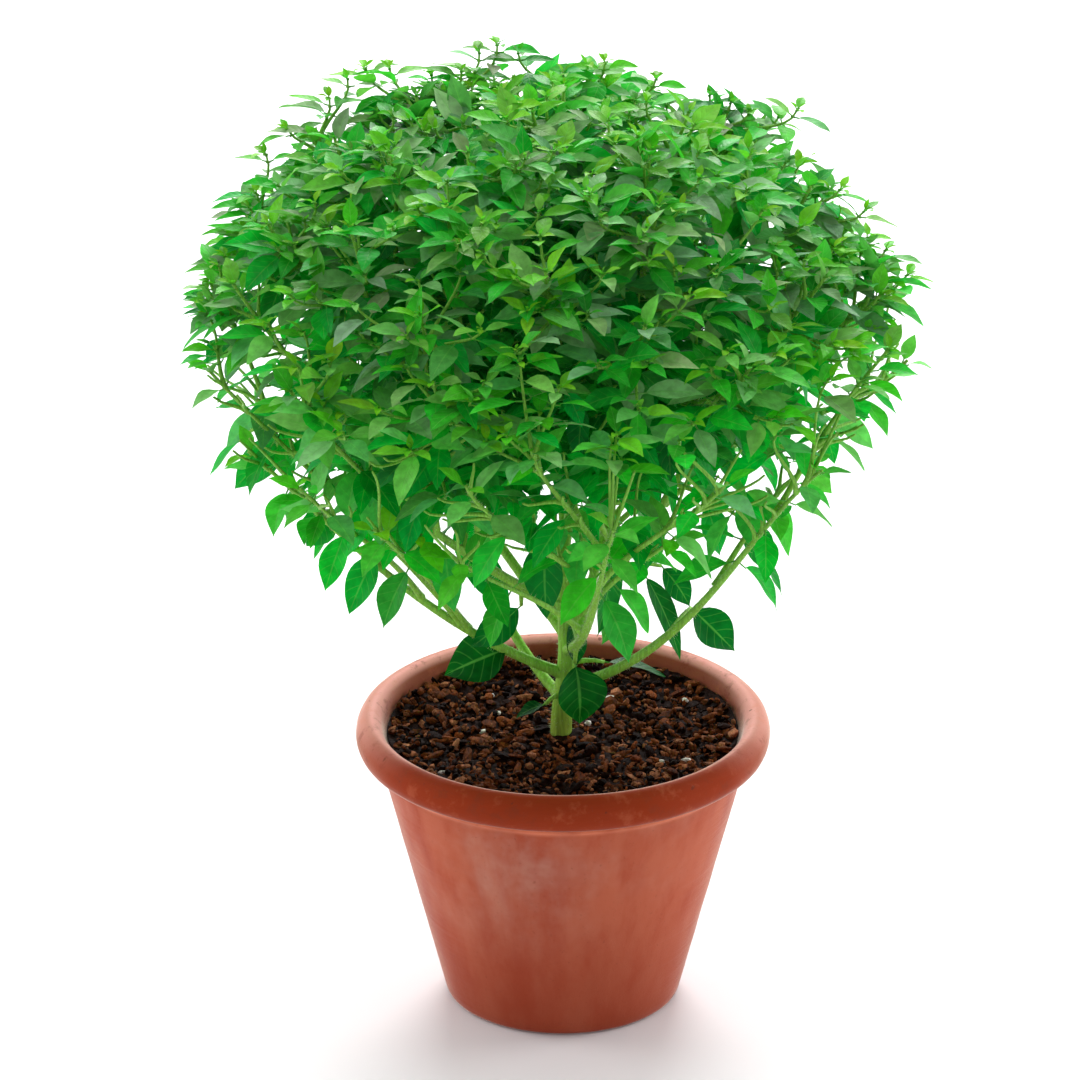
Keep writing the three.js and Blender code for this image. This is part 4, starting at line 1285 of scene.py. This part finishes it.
def terracotta_material():
    s = Shader("terracotta")
    x, y, height = s.split(s.place)
    radius = s.math("SQRT", s.plus(s.times(x, x), s.times(y, y)))
    clouds = s.noise(26, 4, 0.6, stretch=(1, 1, 0.35))
    mottle = s.noise(95, 4, 0.6, stretch=(1, 1, 0.35))
    bloom = s.noise(16, 5, 0.65, stretch=(1, 1, 1), shift=(0.3, 0.1, 0.7))
    streaks = s.noise(150, 3, 0.6, stretch=(1, 1, 0.12))
    rings = s.noise(18, 2, stretch=(0.4, 0.4, 30))
    speck = s.noise(900, 2, 0.7)
    grain = s.noise(2400, 2, 0.6)
    worn = s.noise(130, 4, 0.7)

    # The body: mottled, darker at the foot, chalky higher up and mostly on one side.
    mixed = s.plus(s.times(clouds, 0.6), s.times(mottle, 0.4))
    colour = s.mix(s.smooth(mixed, 0.36, 0.62), *CLAY)
    colour = s.mix(s.smooth(height, 0.06, 0, 0, 0.55), colour, CLAY_FOOT)
    chalk = s.times(s.smooth(bloom, 0.42, 0.72), s.smooth(height, 0.02, 0.08))
    aside = s.smooth(x, 0.035, -0.035, 0.35, 0.8)
    chalk = s.times(chalk, s.times(aside, s.smooth(streaks, 0.3, 0.7, 0.6, 1.2)))
    colour = s.mix(chalk, colour, CLAY_CHALK)

    # The fold under the rim, with a painted highlight along it.
    fold = s.times(s.smooth(height, 0.0840, 0.0862), s.smooth(height, 0.0890, 0.0872))
    broken = s.smooth(s.noise(55, 2), 0.35, 0.6, 0.25, 0.75)
    colour = s.mix(s.times(fold, broken), colour, FOLD_HIGHLIGHT)

    # The rim: its sides, pale with bloom and partly painted light, with a painted highlight on the
    # crest; its back; and its inside, painted light on the slope that turns to painted shade
    # downwards and at the back.
    rim = s.smooth(height, 0.0866, 0.0890)
    inside = s.times(s.smooth(radius, 0.0662, 0.0640), s.smooth(height, 0.0880, 0.0900))
    # Painted highlight on the crest of the sides.
    flank = s.mix(s.smooth(height, 0.0960, 0.1008), *RIM_SIDE_BLOOM_AND_LIGHT)
    flank = s.mix(s.smooth(y, 0.02, 0.06, 0, 0.8), flank, RIM_BACK)
    # Painted light on the inner slope, then painted shade lower down and on the back inner wall.
    flank = s.mix(inside, flank, RIM_INSIDE_PAINTED_LIGHT)
    flank = s.mix(s.times(inside, s.smooth(height, 0.1000, 0.0960)), flank, RIM_INSIDE_PAINTED_SHADE)
    behind = s.times(s.times(inside, s.smooth(y, 0, 0.04)), s.smooth(height, 0.1008, 0.0990))
    flank = s.mix(behind, flank, RIM_BACK_WALL_PAINTED_SHADE)
    colour = s.mix(s.math("MAXIMUM", rim, inside), colour, flank)

    # The rim's front is painted darker, deep red, as shade on the side turned from the lamps, with a
    # painted highlight along its lip.
    patchy = s.times(s.minus(clouds, 0.5), 0.5)
    shaded_front = s.smooth(s.plus(s.times(y, -20), patchy), 0.15, 0.95)
    face = s.mix(s.times(s.smooth(radius, 0.0652, 0.0641), 0.7), *RIM_FRONT_SHADE_AND_LIP_HIGHLIGHT)
    colour = s.mix(s.times(rim, shaded_front), colour, face)

    # Specks everywhere, and spots and worn places on the rim.
    colour = s.mix(s.smooth(speck, 0.62, 0.8, 0, 0.5), colour, CLAY_SPECK)
    spots = s.smooth(s.noise(380, 1, 0.3), 0.74, 0.80, 0, 0.6)
    for mask, paint in (
        (spots, RIM_SPOT),
        (s.smooth(worn, 0.54, 0.68, 0, 0.45), RIM_WORN_DARK),
        (s.smooth(worn, 0.46, 0.30, 0, 0.22), RIM_WORN_PALE),
    ):
        colour = s.mix(s.times(mask, rim), colour, paint)

    relief = s.plus(s.times(rings, 0.7), s.times(grain, 0.3))
    return s.finish(s.skin(
        colour, s.smooth(clouds, 0.3, 0.7, 0.62, 0.82), 0.16,
        Normal=s.bump(s.plus(relief, s.times(speck, 0.25)), 0.3, 0.0006),
        Sheen_Weight=0.95, Sheen_Roughness=0.25, Sheen_Tint=CLAY_SHEEN,
    ))


def bark_material(name, roughness):
    s = Shader(name)
    fibre = s.noise(900, 4, 0.65, stretch=(1, 0.25, 1))
    colour = s.scaled(s.attribute("tint", 0), s.smooth(fibre, 0.25, 0.75, 0.3, 1.45))
    height = s.plus(fibre, s.times(s.noise(2200, 3, 0.7), 0.6))
    return s.finish(s.skin(colour, roughness, 0.02, Normal=s.bump(height, 0.8, 0.0008)))


def floor_material():
    s = Shader("floor")
    colour = s.mix(s.smooth(s.noise(3, 2), 0.3, 0.7), *FLOOR_COLOURS)
    return s.finish(s.skin(
        colour, 0.9, 0.5, Emission_Color=FLOOR_LIGHT, Emission_Strength=FLOOR_GLOW,
    ))


# Stage

FLOOR_HALF = 3
# How the sky goes from dim in front of the plant to bright behind it.
SKY_RAMP = (-0.75, 0.55, 0.46, 0.98)
FRAME_WIDTH = 0.3618
VIEW_POINT = Vector((-0.0077, 0, 0.1658))
VIEW_ELEVATION = radians(24.2)
VIEW_DISTANCE = 5
SENSOR = 36
# Each light's place, the height it aims at, its size and its power.
LIGHTS = {
    "back_light": ((0.1, 1.6, 1.05), 0.15, 1.1, 34),
    "top_light": ((0, 0.35, 1.7), 0.15, 1.4, 5),
    "left_light": ((-1.5, 0.35, 0.75), 0.12, 0.9, 9),
    "right_light": ((1.5, 0.35, 0.75), 0.12, 0.9, 9.5),
}


def aim(thing, place, sight):
    """Puts a camera or light at a place, looking along a sight."""
    thing.location = place
    thing.rotation_euler = sight.to_track_quat("-Z", "Y").to_euler()


def make_camera():
    data = bpy.data.cameras.new("camera")
    data.sensor_width = SENSOR
    data.lens = SENSOR * VIEW_DISTANCE / FRAME_WIDTH
    camera = put("camera", data)
    back = Vector((0, -cos(VIEW_ELEVATION), sin(VIEW_ELEVATION)))
    aim(camera, VIEW_POINT + back * VIEW_DISTANCE, -back)
    bpy.context.scene.camera = camera


def make_lights():
    for name, (place, aimed, size, power) in LIGHTS.items():
        data = bpy.data.lights.new(name, "AREA")
        data.shape = "DISK"
        data.size = size
        data.energy = power
        aim(put(name, data), place, Vector((0, 0, aimed)) - Vector(place))


def make_sky():
    world = bpy.data.worlds.new("sky")
    world.use_nodes = True
    nodes, links = world.node_tree.nodes, world.node_tree.links
    place = nodes.new("ShaderNodeTexCoord")
    axes = nodes.new("ShaderNodeSeparateXYZ")
    ramp = nodes.new("ShaderNodeMapRange")
    ramp.interpolation_type = "SMOOTHSTEP"
    for name, value in zip(("From Min", "From Max", "To Min", "To Max"), SKY_RAMP):
        ramp.inputs[name].default_value = value
    links.new(place.outputs["Generated"], axes.inputs[0])
    links.new(axes.outputs["Y"], ramp.inputs["Value"])
    links.new(ramp.outputs[0], nodes["Background"].inputs["Strength"])
    nodes["Background"].inputs["Color"].default_value = (1.0, 1.0, 1.0, 1.0)
    bpy.context.scene.world = world


def make_stage():
    mesh = bpy.data.meshes.new("floor")
    corners = [(x * FLOOR_HALF, y * FLOOR_HALF, 0) for x, y in ((-1, -1), (1, -1), (1, 1), (-1, 1))]
    mesh.from_pydata(corners, [], [(0, 1, 2, 3)])
    mesh.materials.append(floor_material())
    put("floor", mesh)
    make_sky()
    make_lights()
    make_camera()
    bpy.context.scene.view_settings.view_transform = "Standard"


def build_plant():
    trunk = {"tubes": [], "leaves": [], "tree": cad_points("main_stem"), "branches": []}
    stems, tips = plan_crown()
    add_low_leaves(stems, trunk)
    hang_leaves(stems)
    add_twigs(stems, tips)
    radii = (STEM_RADIUS, STEM_TOP_RADIUS)
    trunk["tubes"].append(Tube(main_stem, radii, 20, guide_across(main_stem, 0), 1.0))
    leaf, stem = leaf_material(), stem_material()
    for order, plant in enumerate([trunk] + stems):
        node = "leafy_stem_%02d" % order if order else "main_stem"
        suffix = "%02d" % order if order else "main"
        hairy = [tube for tube in plant["tubes"] if tube.radii[0] > TWIG_RADIUS]
        lot = HAIR_LOT + 9000 * order
        parts = [tube_mesh(tube) for tube in plant["tubes"]]
        parts += [stem_hairs(tube, lot + 700 * n) for n, tube in enumerate(hairy)]
        make_piece("stems_" + suffix, parts, stem, node)
        groups = {True: [], False: []}
        for item in inside_box(plant["leaves"]):
            groups[item.length > LARGE_LEAF and item.lot < TWIG_LOT].append(item)
        parts = [
            blade_mesh(groups[large], *fineness)
            for large, fineness in (
                (True, (LARGE_STATIONS, LARGE_COLUMNS)), (False, (BLADE_STATIONS, BLADE_COLUMNS))
            ) if groups[large]
        ]
        make_piece("leaves_" + suffix, parts, leaf, node)


def build_pot():
    make_piece("terracotta_pot", pot_parts(), terracotta_material(), "pot")
    bark, grain = bark_material("bark", 0.62), bark_material("perlite", 0.8)
    for name, parts, material, smooth in (
        ("mix_bed", bed_parts(), bark, True),
        ("mix_bark", scatter(*CRUMBS) + scatter(*FLAKES), bark, False),
        ("mix_perlite", scatter(*GRAINS), grain, True),
    ):
        make_piece(name, parts, material, "potting_mix", smooth)


build_plant()
build_pot()
make_stage()
